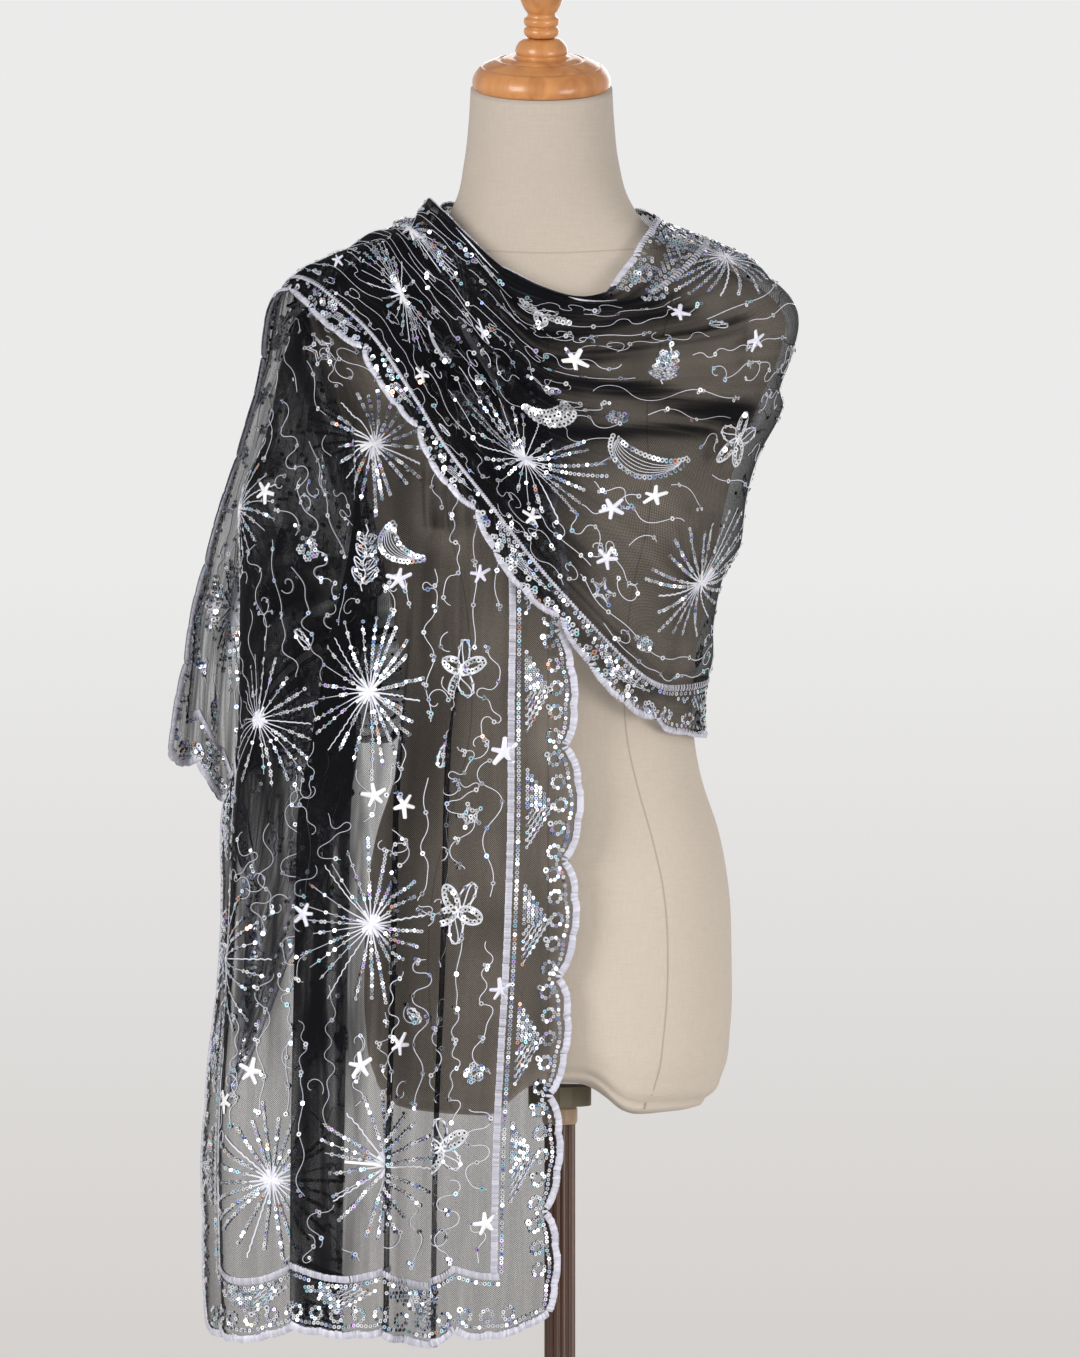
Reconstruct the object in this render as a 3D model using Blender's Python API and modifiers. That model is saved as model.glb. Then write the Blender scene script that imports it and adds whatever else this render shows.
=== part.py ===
# Evening stole of sheer net, worn as a wrap on a limbless dress form.
# Metres, +Z up. The origin is on the floor under the pole. The front of the form faces -Y.
# The stole is one strip of net. A point of it is named by two flat lengths in mm: "along", from
# end A to end B, and "across", from edge one (the neckline side) to edge two.

import math

import bpy
import numpy as np

for old in list(bpy.data.objects):
    bpy.data.objects.remove(old, do_unlink=True)

MM = 0.001

# the stole, flat
STOLE_LENGTH = 1910.0
STOLE_WIDTH = 500.0
WALL = 1.0
SCALLOPS_LONG = 22
SCALLOPS_END = 6
SCALLOP_DEPTH = 12.0
SEAM_GAP = 1.35

# the dress form
BODY_X = -9.0
TORSO_TURNS = 36
NECK_TILT = math.radians(11.0)
NECK_TOP = 1450.0
SQUARENESS = 2.25
BUST_RISE = 13.0
BUST_Z = 1128.0
BUST_ANGLE = 0.60
ARCH_RISE = 26.0
ARCH_HALF = 40.0
TORSO_FLOOR = 669.0

# the stand
POLE_RADIUS = 12.0
POLE_FLUTES = 12
POLE_FLUTE_DEPTH = 1.3
PLATE_RADIUS = 24.0
PLATE_HEIGHT = 15.0
PLATE_SINK = 1.7
COLLAR_HEIGHT = 14.0
BASE_RADIUS = 175.0
BASE_HEIGHT = 46.0

# Torso sections: height, half width, depth in front, depth behind, centre x, centre y.
TORSO = (
    (669.0, 62.0, 46.0, 52.0, 0.0, 2.0),
    (672.0, 96.0, 72.0, 80.0, 0.0, 2.0),
    (682.0, 121.0, 88.0, 97.0, 0.0, 2.0),
    (700.0, 133.0, 97.0, 107.0, 0.0, 2.0),
    (735.0, 139.0, 102.0, 113.0, 0.0, 2.0),
    (790.0, 140.0, 104.0, 114.0, 0.0, 2.0),
    (840.0, 138.0, 102.0, 110.0, 0.0, 2.0),
    (885.0, 130.0, 97.0, 101.0, 0.0, 2.0),
    (925.0, 117.0, 92.0, 92.0, 0.0, 2.0),
    (960.0, 111.0, 89.0, 87.0, 0.0, 2.0),
    (1000.0, 111.0, 92.0, 86.0, 0.0, 2.0),
    (1060.0, 120.0, 103.0, 90.0, 0.0, 2.0),
    (1120.0, 132.0, 112.0, 95.0, 0.0, 3.0),
    (1175.0, 146.0, 106.0, 98.0, 0.0, 4.0),
    (1220.0, 165.0, 94.0, 98.0, 0.0, 6.0),
    (1255.0, 179.0, 82.0, 94.0, 0.0, 8.0),
    (1280.0, 180.0, 72.0, 88.0, 0.0, 9.0),
    (1298.0, 164.0, 66.0, 80.0, 0.0, 9.0),
    (1314.0, 138.0, 62.0, 72.0, -1.0, 9.0),
    (1330.0, 104.0, 59.0, 66.0, -2.0, 8.0),
    (1346.0, 80.0, 58.0, 62.0, -3.0, 6.0),
    (1365.0, 67.0, 57.0, 59.0, -4.0, 3.0),
    (1395.0, 59.0, 55.0, 56.0, -5.0, -2.0),
    (1425.0, 55.5, 53.5, 54.0, -5.0, -6.0),
    (1450.0, 54.0, 53.0, 53.0, -5.0, -9.0),
)

# Drape sections from end A to end B. Each row is the length along the stole, then five points of
# the worn strip in mm from the centre of the body: edge one, quarter, middle, three quarters, edge two.
SECTIONS = (
    (0.0, (8, -106, 522), (-80, -126, 503), (-165, -120, 512), (-240, -78, 502), (-262, 6, 504)),
    (150.0, (12, -112, 668), (-78, -130, 655), (-163, -122, 655), (-242, -76, 652), (-264, 6, 650)),
    (300.0, (23, -119, 820), (-72, -134, 808), (-160, -124, 802), (-236, -74, 800), (-250, 10, 798)),
    (420.0, (26, -121, 938), (-70, -136, 928), (-158, -124, 922), (-232, -70, 918), (-246, 20, 912)),
    (500.0, (20, -124, 1018), (-72, -136, 1008), (-156, -120, 1000), (-232, -50, 985), (-224, 70, 930)),
    (600.0, (12, -128, 1117), (-76, -132, 1108), (-158, -108, 1100), (-234, -15, 1075), (-160, 104, 945)),
    (700.0, (2, -122, 1214), (-86, -112, 1215), (-178, -62, 1205), (-226, 30, 1130), (-90, 110, 955)),
    (800.0, (-36, -92, 1292), (-125, -72, 1285), (-190, 8, 1270), (-150, 98, 1140), (-5, 110, 955)),
    (842.0, (-64, -44, 1340), (-132, 8, 1334), (-150, 82, 1250), (-66, 112, 1130), (36, 108, 950)),
    (885.0, (-80, 8, 1364), (-104, 72, 1300), (-52, 110, 1190), (20, 112, 1065), (80, 88, 948)),
    (980.0, (0, 82, 1352), (100, 72, 1298), (165, 45, 1200), (126, 40, 1070), (103, 0, 952)),
    (1050.0, (73, 6, 1356), (170, 0, 1304), (163, -22, 1185), (100, -74, 1042), (74, -96, 966)),
    (1140.0, (30, -74, 1289), (96, -80, 1268), (100, -105, 1190), (30, -138, 1098), (-8, -144, 1048)),
    (1225.0, (-46, -64, 1321), (-10, -95, 1262), (0, -127, 1205), (-30, -142, 1155), (-66, -145, 1128)),
    (1278.0, (-84, -16, 1364), (-50, -80, 1300), (-38, -110, 1240), (-60, -130, 1190), (-92, -130, 1165)),
    (1330.0, (-90, 50, 1354), (-104, -24, 1346), (-84, -74, 1290), (-90, -104, 1235), (-114, -108, 1202)),
    (1420.0, (-112, 98, 1210), (-120, 62, 1318), (-132, 0, 1342), (-127, -62, 1290), (-164, -62, 1262)),
    (1480.0, (-120, 106, 1135), (-132, 86, 1262), (-156, 34, 1320), (-174, -8, 1318), (-201, -14, 1294)),
    (1600.0, (-138, 114, 1020), (-152, 106, 1130), (-172, 88, 1215), (-203, 60, 1240), (-228, 42, 1212)),
    (1750.0, (-166, 118, 868), (-192, 118, 940), (-222, 106, 1000), (-252, 88, 1050), (-270, 70, 1080)),
    (1910.0, (-254, 106, 655), (-240, 116, 748), (-238, 114, 842), (-262, 102, 915), (-298, 86, 938)),
)

# How far the strip lies off the torso: length along, least, most near edge one, most near edge two.
LAID = (
    (0.0, 6.0, 900.0, 900.0),
    (480.0, 6.0, 300.0, 900.0),
    (600.0, 6.0, 16.0, 300.0),
    (700.0, 6.0, 10.0, 70.0),
    (790.0, 5.1, 10.0, 12.0),
    (940.0, 5.1, 12.0, 12.0),
    (985.0, 9.0, 13.0, 13.0),
    (1050.0, 9.0, 16.0, 16.0),
    (1100.0, 10.0, 18.0, 30.0),
    (1150.0, 16.0, 24.0, 60.0),
    (1200.0, 20.0, 40.0, 60.0),
    (1270.0, 20.0, 70.0, 45.0),
    (1340.0, 20.0, 60.0, 32.0),
    (1480.0, 20.0, 30.0, 32.0),
    (1560.0, 20.0, 60.0, 60.0),
    (1640.0, 20.0, 900.0, 900.0),
    (1910.0, 20.0, 900.0, 900.0),
)

# Pleats of three layers that run along the strip: flat start across, width, layer lift,
# then the lengths along where it begins, is full, is still full and is gone.
PLEATS = (
    (96.0, 8.0, 2.6, -200.0, -100.0, 430.0, 560.0),
    (150.0, 8.0, 2.6, -200.0, -100.0, 430.0, 560.0),
    (204.0, 46.0, 4.8, -200.0, -100.0, 380.0, 720.0),
)
PLEAT_TURN = 2.2

# Soft waves that run along the strip: centre across as it shows, half width, lift,
# then the lengths along where it begins, is full, is still full and is gone.
WAVES = (
    (40.0, 34.0, 5.0, -200.0, -100.0, 380.0, 620.0),
    (117.0, 21.0, -13.0, -260.0, -100.0, 120.0, 420.0),
    (155.0, 14.0, 3.0, -200.0, -100.0, 200.0, 500.0),
    (268.0, 30.0, 7.0, -200.0, -100.0, 420.0, 640.0),
    (318.0, 28.0, -8.0, -200.0, -100.0, 420.0, 640.0),
    (60.0, 30.0, 3.5, 760.0, 860.0, 940.0, 1040.0),
    (150.0, 34.0, 4.0, 760.0, 860.0, 980.0, 1080.0),
    (240.0, 36.0, 4.5, 760.0, 870.0, 1000.0, 1090.0),
    (330.0, 34.0, 4.5, 760.0, 870.0, 1000.0, 1090.0),
    (425.0, 36.0, 6.0, 640.0, 800.0, 960.0, 1060.0),
    (56.0, 20.0, 3.0, 1060.0, 1130.0, 1150.0, 1230.0),
    (104.0, 20.0, 4.5, 1040.0, 1150.0, 1190.0, 1300.0),
    (156.0, 20.0, 4.5, 1040.0, 1160.0, 1200.0, 1340.0),
    (208.0, 20.0, 5.0, 1060.0, 1180.0, 1250.0, 1400.0),
    (260.0, 20.0, 4.5, 1080.0, 1200.0, 1250.0, 1400.0),
    (312.0, 19.0, 5.0, 1080.0, 1200.0, 1270.0, 1440.0),
    (362.0, 20.0, 5.5, 1080.0, 1200.0, 1290.0, 1460.0),
    (412.0, 19.0, 4.0, 1080.0, 1200.0, 1290.0, 1460.0),
    (55.0, 44.0, 10.0, 1500.0, 1700.0, 1780.0, 2000.0),
    (150.0, 46.0, 11.0, 1500.0, 1700.0, 1780.0, 2000.0),
    (245.0, 44.0, 11.0, 1500.0, 1700.0, 2100.0, 2200.0),
    (340.0, 44.0, 8.5, 1500.0, 1700.0, 2100.0, 2200.0),
    (432.0, 40.0, 9.0, 1500.0, 1700.0, 2100.0, 2200.0),
)

# Stretches: name, start and end along, rows, and the even columns before the fold columns come in.
STRETCHES = (
    ("stole_front_panel", 0.0, 780.0, 32, 18),
    ("stole_back", 780.0, 1005.0, 16, 22),
    ("stole_cross_panel", 1005.0, 1450.0, 24, 34),
    ("stole_thrown_end", 1450.0, 1910.0, 20, 32),
)


def curve_through(at, values, x):
    """Smooth curve through the table rows (at, values), read at every x."""
    at = np.asarray(at, float)
    values = np.asarray(values, float)
    x = np.clip(np.asarray(x, float), at[0], at[-1])
    step = np.diff(at)
    rise = np.diff(values, axis=0) / step.reshape((-1,) + (1,) * (values.ndim - 1))
    slope = np.empty_like(values)
    slope[0] = rise[0]
    slope[-1] = rise[-1]
    share = (step[:-1] / (step[:-1] + step[1:])).reshape((-1,) + (1,) * (values.ndim - 1))
    slope[1:-1] = rise[:-1] * (1.0 - share) + rise[1:] * share
    row = np.clip(np.searchsorted(at, x, side="right") - 1, 0, len(at) - 2)
    wide = step[row]
    f = (x - at[row]) / wide
    more = (1,) * (values.ndim - 1)
    f = f.reshape(f.shape + more)
    wide = wide.reshape(wide.shape + more)
    start = (2 * f ** 3 - 3 * f ** 2 + 1) * values[row] + (f ** 3 - 2 * f ** 2 + f) * wide * slope[row]
    end = (3 * f ** 2 - 2 * f ** 3) * values[row + 1] + (f ** 3 - f ** 2) * wide * slope[row + 1]
    return start + end


def ease(x):
    x = np.clip(x, 0.0, 1.0)
    return x * x * (3.0 - 2.0 * x)


def fade(x, begins, full, still, gone):
    return ease((x - begins) / (full - begins)) * (1.0 - ease((x - still) / (gone - still)))


def torso_section(z):
    table = np.array(TORSO)
    return curve_through(table[:, 0], table[:, 1:], z)


def torso_radius(angle, z):
    """Distance from the torso's axis to its skin; angle 0 faces front, +X is at a quarter turn."""
    size = torso_section(z)
    depth = np.where(np.cos(angle) > 0.0, size[..., 1], size[..., 2])
    side = (np.abs(np.sin(angle)) / size[..., 0]) ** SQUARENESS
    fore = (np.abs(np.cos(angle)) / depth) ** SQUARENESS
    bust = BUST_RISE * np.exp(-((np.abs(angle) - BUST_ANGLE) / 0.36) ** 2)
    bust = bust * np.exp(-((z - BUST_Z) / 50.0) ** 2)
    return (side + fore) ** (-1.0 / SQUARENESS) + bust


def arched(x, z):
    """Height of a torso point once the under side is arched from front to back over the pole."""
    fall = 1.0 - ease((z - TORSO_FLOOR) / 80.0)
    return z + ARCH_RISE * np.exp(-(x / ARCH_HALF) ** 4) * fall


def off_torso(p):
    size = torso_section(p[..., 2])
    dx = p[..., 0] - size[..., 3]
    dy = p[..., 1] - size[..., 4]
    return np.hypot(dx, dy) - torso_radius(np.arctan2(dx, -dy), p[..., 2])


def lay_on_torso(p, least, most):
    """Move points along the way out of the torso until they lie between least and most off it."""
    for _ in range(5):
        here = off_torso(p)
        way = np.stack([(off_torso(p + d) - off_torso(p - d)) / 2.0 for d in np.eye(3)], axis=-1)
        long = np.maximum(np.linalg.norm(way, axis=-1), 0.6)
        gap = here / long
        want = np.clip(gap, least, most)
        p = p + way * ((want - gap) / long)[..., None]
    return p


def smooth_drape(t, along):
    """The worn strip without its folds. t runs 0 to 1 over the part of the width that shows."""
    rows = [r[0] for r in SECTIONS]
    points = np.array([r[1:] for r in SECTIONS], float)
    laid = np.array(LAID)
    section = curve_through(rows, points, along)
    place = np.clip(t, 0.0, 1.0) * 4.0
    low = np.clip(np.floor(place), 0, 3).astype(int)
    f = (place - low)[..., None]
    def pick(k):
        return np.take_along_axis(section, np.clip(k, 0, 4)[..., None, None], axis=-2)[..., 0, :]
    a, b, c, d = pick(low - 1), pick(low), pick(low + 1), pick(low + 2)
    a = np.where((low == 0)[..., None], 2 * b - c, a)
    d = np.where((low == 3)[..., None], 2 * c - b, d)
    bend = (2 * a - 5 * b + 4 * c - d) * f ** 2 + (3 * b - 3 * c + d - a) * f ** 3
    p = 0.5 * (2 * b + (c - a) * f + bend)
    least, most_one, most_two = (np.interp(along, laid[:, 0], laid[:, k]) for k in (1, 2, 3))
    most = most_one + (most_two - most_one) * ease((np.clip(t, 0.0, 1.0) - 0.30) / 0.35)
    return lay_on_torso(p, least, most)


def soft_ramp(x, turn):
    return 0.5 * (x + np.sqrt(x * x + turn * turn))


def fold_place(across, along):
    """Where a flat point goes once the folds are laid: share of the worn width, and lift off it."""
    shown = across.copy()
    lift = np.zeros_like(across)
    hidden = np.zeros_like(across)
    for start, wide, layer, begins, full, still, gone in PLEATS:
        on = fade(along, begins, full, still, gone)
        w = wide * on
        q = across - start
        turn = PLEAT_TURN + 0.6 * np.clip(min(wide, 14.0) - w, 0.0, None)
        shown = shown - 2.0 * soft_ramp(q - w, turn) + 2.0 * soft_ramp(q - 2.0 * w, turn)
        hidden = hidden + 2.0 * w
        h = layer * ease(w / 3.5)
        r = 3.4
        rise = 9.0 + 0.12 * wide
        lift = lift + 2.0 * h * ease((q + rise) / rise)
        lift = lift - h * ease((q - w + r) / (2 * r)) - h * ease((q - 2.0 * w + r) / (2 * r))
    for centre, half, high, begins, full, still, gone in WAVES:
        on = fade(along, begins, full, still, gone)
        lift = lift + high * on * np.exp(-((shown - centre) / (0.62 * half)) ** 2)
    return shown / (STOLE_WIDTH - hidden), lift


def worn(across, along):
    """The middle of the net wall at flat points, in mm from the centre of the body."""
    t, lift = fold_place(across, along)
    step = 0.004
    reach = 3.0
    p = smooth_drape(t, along)
    lo = np.clip(t, step, 1.0 - step)
    du = smooth_drape(lo + step, along) - smooth_drape(lo - step, along)
    dv = smooth_drape(lo, along + reach) - smooth_drape(lo, along - reach)
    n = np.cross(dv, du)
    n = n / np.maximum(np.linalg.norm(n, axis=-1, keepdims=True), 1e-6)
    return p + n * lift[..., None]


def scallop(x, pitch):
    """How far the scalloped edge dips in at a place along it."""
    return SCALLOP_DEPTH * (1.0 - np.abs(np.sin(math.pi * x / pitch)) ** 0.7)


def flat_grid(rows, columns):
    """Flat coordinates of a grid of rows along and columns across, drawn in at the scallops."""
    along, across = np.meshgrid(rows, columns, indexing="ij")
    for start, wide, _, begins, full, still, gone in PLEATS:
        if rows[-1] <= begins or rows[0] >= gone:
            continue
        near = min(5.5, 0.4 * wide)
        knots = [0.0, wide - near, wide + near, 2 * wide - near, 2 * wide + near, 3 * wide, 3 * wide + 30.0]
        for i, v in enumerate(rows):
            w = max(wide * float(fade(v, begins, full, still, gone)), min(wide, 12.0))
            moved = [0.0, w - near, w + near, 2 * w - near, 2 * w + near, 3 * w, 3 * wide + 30.0]
            inside = (across[i] > start) & (across[i] < start + 3 * wide + 30.0)
            across[i] = np.where(inside, start + np.interp(across[i] - start, knots, moved), across[i])
    side = scallop(along, STOLE_LENGTH / SCALLOPS_LONG)
    end = scallop(across, STOLE_WIDTH / SCALLOPS_END)
    near_one = 1.0 - ease(across / 70.0)
    near_two = 1.0 - ease((STOLE_WIDTH - across) / 70.0)
    near_a = 1.0 - ease(along / 70.0)
    near_b = 1.0 - ease((STOLE_LENGTH - along) / 70.0)
    return (across + side * near_one - side * near_two, along + end * near_a - end * near_b)


def fold_columns(first, last, even):
    """Columns across a stretch: even ones, with closer ones where its pleats turn."""
    columns = set()
    busy = []
    for start, wide, _, begins, full, still, gone in PLEATS:
        if gone <= first or begins >= last:
            continue
        busy.append((start - 16.0, start + 3 * wide + 8.0))
        places = [-15.0, -7.0, 0.0, wide - 5.5, wide - 1.9, wide + 1.9, wide + 5.5]
        places += [2 * wide - 5.5, 2 * wide - 1.9, 2 * wide + 1.9, 2 * wide + 5.5, 3 * wide + 7.0]
        if wide > 20.0:
            places += [0.5 * wide, 1.5 * wide, 2.5 * wide]
        else:
            places = [-10.0, -4.0, wide - 3.0, wide, wide + 3.0, 2 * wide - 3.0, 2 * wide, 2 * wide + 3.0]
        columns.update(round(start + q, 2) for q in places)
    for k in range(even + 1):
        c = STOLE_WIDTH * k / even
        if not any(a < c < b for a, b in busy):
            columns.add(round(c, 2))
    columns = sorted(columns)
    kept = [columns[0]]
    for c in columns[1:]:
        if c - kept[-1] > 1.5:
            kept.append(c)
    kept[-1] = STOLE_WIDTH
    return np.array(kept)


def material(name, colour, roughness, metallic=0.0):
    m = bpy.data.materials.new(name)
    m.use_nodes = True
    b = m.node_tree.nodes["Principled BSDF"]
    b.inputs["Base Color"].default_value = (colour[0], colour[1], colour[2], 1.0)
    b.inputs["Roughness"].default_value = roughness
    b.inputs["Metallic"].default_value = metallic
    m.diffuse_color = (colour[0], colour[1], colour[2], 1.0)
    return m


def place(name, vertices, faces, m):
    mesh = bpy.data.meshes.new(name)
    mesh.from_pydata([tuple(v) for v in vertices], [], faces)
    mesh.update()
    ob = bpy.data.objects.new(name, mesh)
    whole.objects.link(ob)
    mesh.materials.append(m)
    mesh.polygons.foreach_set("use_smooth", [True] * len(mesh.polygons))
    return ob


def grid_faces(rows, columns):
    return [
        (i * columns + j, i * columns + j + 1, (i + 1) * columns + j + 1, (i + 1) * columns + j)
        for i in range(rows - 1)
        for j in range(columns - 1)
    ]


def net_stretch(name, first, last, count, even, m):
    """One stretch of the strip: a sheet through its sections, thickened to a closed wall."""
    lo = first + (SEAM_GAP / 2 if first > 0.0 else 0.0)
    hi = last - (SEAM_GAP / 2 if last < STOLE_LENGTH else 0.0)
    rows = np.linspace(lo, hi, count + 1)
    columns = fold_columns(first, last, even)
    across, along = flat_grid(rows, columns)
    points = worn(across, along)
    points = (points + np.array([BODY_X, 0.0, 0.0])) * MM
    ob = place(name, points.reshape(-1, 3), grid_faces(len(rows), len(columns)), m)
    wall = ob.modifiers.new("wall", "SOLIDIFY")
    wall.thickness = WALL * MM
    wall.offset = 0.0
    wall.use_even_offset = False
    wall.use_rim = True
    return ob


def turned(name, profile, m, steps, at, tilt=0.0):
    """A turned piece: its outer side as a profile of (radius, height) from top to bottom, in mm."""
    mesh = bpy.data.meshes.new(name)
    points = [(r * MM, 0.0, h * MM) for r, h in profile]
    mesh.from_pydata(points, [(k, k + 1) for k in range(len(points) - 1)], [])
    mesh.materials.append(m)
    ob = bpy.data.objects.new(name, mesh)
    whole.objects.link(ob)
    ob.location = (at[0] * MM, at[1] * MM, at[2] * MM)
    ob.rotation_euler = (tilt, 0.0, 0.0)
    turn = ob.modifiers.new("turn", "SCREW")
    turn.axis = "Z"
    turn.steps = steps
    turn.render_steps = steps
    turn.use_merge_vertices = True
    turn.merge_threshold = 0.00005
    turn.use_smooth_shade = True
    return ob


whole = bpy.data.collections.new("evening_stole")
bpy.context.scene.collection.children.link(whole)

net = material("black_net", (0.012, 0.012, 0.016), 0.55)
linen = material("beige_linen", (0.52, 0.46, 0.38), 0.85)
cap_wood = material("honey_wood", (0.50, 0.22, 0.07), 0.35)
pole_wood = material("dark_wood", (0.10, 0.045, 0.03), 0.4)
plate_metal = material("olive_plate", (0.10, 0.09, 0.055), 0.5, 0.6)
collar_wood = material("tan_collar", (0.42, 0.30, 0.19), 0.6)

# the four stretches of the stole
for stretch in STRETCHES:
    net_stretch(stretch[0], stretch[1], stretch[2], stretch[3], stretch[4], net)

# the padded torso, through its sections, with a flat tilted neck top and a flat under side
heights = [669.0, 671.0, 676.0, 686.0, 704.0, 735.0, 775.0, 815.0, 855.0, 895.0, 930.0, 960.0, 995.0, 1030.0]
heights += [1065.0, 1095.0, 1125.0, 1155.0, 1185.0, 1215.0, 1240.0, 1262.0, 1280.0, 1294.0, 1306.0, 1318.0]
heights += [1330.0, 1344.0, 1362.0, 1390.0, 1420.0, 1450.0]
turns = np.linspace(0.0, 2 * math.pi, TORSO_TURNS, endpoint=False)
angles = np.where(turns > math.pi, turns - 2 * math.pi, turns)
skin = []
for z in heights:
    size = torso_section(np.array([z]))[0]
    r = torso_radius(angles, np.full(TORSO_TURNS, z))
    x = size[3] + r * np.sin(angles)
    y = size[4] - r * np.cos(angles)
    lean = math.tan(NECK_TILT) * float(ease(np.array((z - 1330.0) / 100.0)))
    skin.append(np.stack([x + BODY_X, y, arched(x + BODY_X, z) + (y - size[4]) * lean], axis=-1))
rings = len(heights)
for share in (0.66, 0.33):
    x, y = skin[0][:, 0] * share, skin[0][:, 1] * share
    skin.append(np.stack([x, y, arched(x, TORSO_FLOOR)], axis=-1))
skin.append(np.array([[0.0, 0.0, arched(0.0, TORSO_FLOOR)]]))
vertices = np.concatenate(skin) * MM
faces = []
for i in range(rings - 1):
    for j in range(TORSO_TURNS):
        k = (j + 1) % TORSO_TURNS
        low = i * TORSO_TURNS
        high = low + TORSO_TURNS
        faces.append((low + j, low + k, high + k, high + j))
for low, high in ((rings, 0), (rings + 1, rings)):
    for j in range(TORSO_TURNS):
        k = (j + 1) % TORSO_TURNS
        faces.append((low * TORSO_TURNS + j, low * TORSO_TURNS + k, high * TORSO_TURNS + k, high * TORSO_TURNS + j))
for j in range(TORSO_TURNS):
    k = (j + 1) % TORSO_TURNS
    faces.append(((rings + 1) * TORSO_TURNS + k, (rings + 1) * TORSO_TURNS + j, (rings + 2) * TORSO_TURNS))
faces.append(tuple((rings - 1) * TORSO_TURNS + j for j in range(TORSO_TURNS)))
place("form_torso", vertices, faces, linen)

# the turned cap on the neck, its rings and its knob
top = torso_section(np.array([NECK_TOP]))[0]
neck = (top[3] + BODY_X, top[4], NECK_TOP)
cap_profile = (
    (0.0, 41.0), (9.0, 41.0), (11.5, 38.0), (14.0, 31.0), (18.5, 25.5), (27.0, 22.0), (39.0, 17.5), (48.0, 12.0),
    (52.0, 6.5), (53.0, 3.5), (51.5, 0.6), (50.5, 0.3), (0.0, 0.3),
)
knob_profile = (
    (0.0, 110.0), (5.0, 109.0), (11.0, 104.0), (16.0, 96.0), (18.0, 86.0), (16.0, 76.0), (11.5, 68.0), (9.5, 64.5),
    (10.5, 62.0), (13.0, 59.5), (13.2, 57.0), (11.6, 54.6), (13.4, 52.0), (13.6, 48.6), (12.4, 45.6), (9.6, 43.2),
    (8.6, 41.3), (0.0, 41.3),
)
turned("neck_cap", cap_profile, cap_wood, 32, neck, NECK_TILT)
turned("cap_finial", knob_profile, cap_wood, 20, neck, NECK_TILT)

# plate and collar under the torso, fluted pole and round foot
plate_top = float(arched(PLATE_RADIUS, TORSO_FLOOR)) - PLATE_SINK
corners = []
for h in (plate_top - PLATE_HEIGHT, plate_top):
    for k in range(16):
        a = 2 * math.pi * k / 16
        corners.append((PLATE_RADIUS * math.cos(a) * MM, PLATE_RADIUS * math.sin(a) * MM, h * MM))
ring = [(k, (k + 1) % 16, 16 + (k + 1) % 16, 16 + k) for k in range(16)]
place("pole_plate", corners, ring + [tuple(reversed(range(16))), tuple(range(16, 32))], plate_metal)

collar_top = plate_top - PLATE_HEIGHT - 0.3
turned(
    "pole_collar",
    ((0.0, 0.0), (12.0, 0.0), (13.5, -2.5), (13.5, -11.5), (12.5, -COLLAR_HEIGHT), (0.0, -COLLAR_HEIGHT)),
    collar_wood, 20, (0.0, 0.0, collar_top),
)

pole_top = collar_top - COLLAR_HEIGHT - 0.3
pole_foot = BASE_HEIGHT + 0.3
ring = []
for k in range(POLE_FLUTES * 3):
    a = 2 * math.pi * k / (POLE_FLUTES * 3)
    r = POLE_RADIUS - (POLE_FLUTE_DEPTH if k % 3 == 0 else 0.0)
    ring.append((r * math.cos(a) * MM, r * math.sin(a) * MM))
count = len(ring)
vertices = [(x, y, pole_foot * MM) for x, y in ring] + [(x, y, pole_top * MM) for x, y in ring]
faces = [(k, (k + 1) % count, count + (k + 1) % count, count + k) for k in range(count)]
faces += [tuple(reversed(range(count))), tuple(range(count, 2 * count))]
place("stand_pole", vertices, faces, pole_wood)

foot_profile = (
    (0.0, BASE_HEIGHT), (20.0, BASE_HEIGHT), (25.0, BASE_HEIGHT - 4.0), (31.0, 33.0), (60.0, 27.0), (110.0, 22.0),
    (158.0, 18.0), (171.0, 14.0), (BASE_RADIUS, 8.0), (172.0, 2.0), (168.0, 0.0), (0.0, 0.0),
)
turned("stand_base", foot_profile, pole_wood, 32, (0.0, 0.0, 0.0))
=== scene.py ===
# %% [markdown]
# # An evening stole on a dress form
#
# This lesson makes one thing: a long strip of black net, worked all over with silver thread and
# sequins, worn as a wrap on a padded form without arms. The strip hangs in front, goes up and round
# the back, comes forward again across the chest and is thrown over the shoulder.
#
# The whole drape could be left to a cloth simulation. A simulated strip is hard to steer, though,
# so here its shape is given in tables. Every point of the flat strip gets its place on the form from one
# function, and everything sewn on the net is drawn flat and carried over with that same function.

import math

import bpy
import numpy as np
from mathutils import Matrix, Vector


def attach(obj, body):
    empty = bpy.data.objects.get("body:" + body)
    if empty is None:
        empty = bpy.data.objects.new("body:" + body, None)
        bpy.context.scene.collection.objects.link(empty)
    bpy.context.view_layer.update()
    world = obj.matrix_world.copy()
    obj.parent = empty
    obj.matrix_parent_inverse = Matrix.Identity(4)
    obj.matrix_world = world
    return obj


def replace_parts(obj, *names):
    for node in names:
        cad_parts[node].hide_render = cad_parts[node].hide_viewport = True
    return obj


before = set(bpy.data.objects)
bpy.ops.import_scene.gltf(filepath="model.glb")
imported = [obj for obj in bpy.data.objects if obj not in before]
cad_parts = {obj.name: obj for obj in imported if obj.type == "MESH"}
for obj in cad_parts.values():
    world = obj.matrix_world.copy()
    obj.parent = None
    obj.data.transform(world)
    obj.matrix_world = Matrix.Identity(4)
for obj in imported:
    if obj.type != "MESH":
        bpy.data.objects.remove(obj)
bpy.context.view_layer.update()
MM = 0.001
rng = np.random.default_rng(7)

# %% [markdown]
# ## Sizes
#
# The strip is named by two flat lengths in mm. "Along" runs from end A, the hem in front, to end B,
# which hangs down behind the shoulder. "Across" runs from edge one, the neckline side, to edge two.

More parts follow.
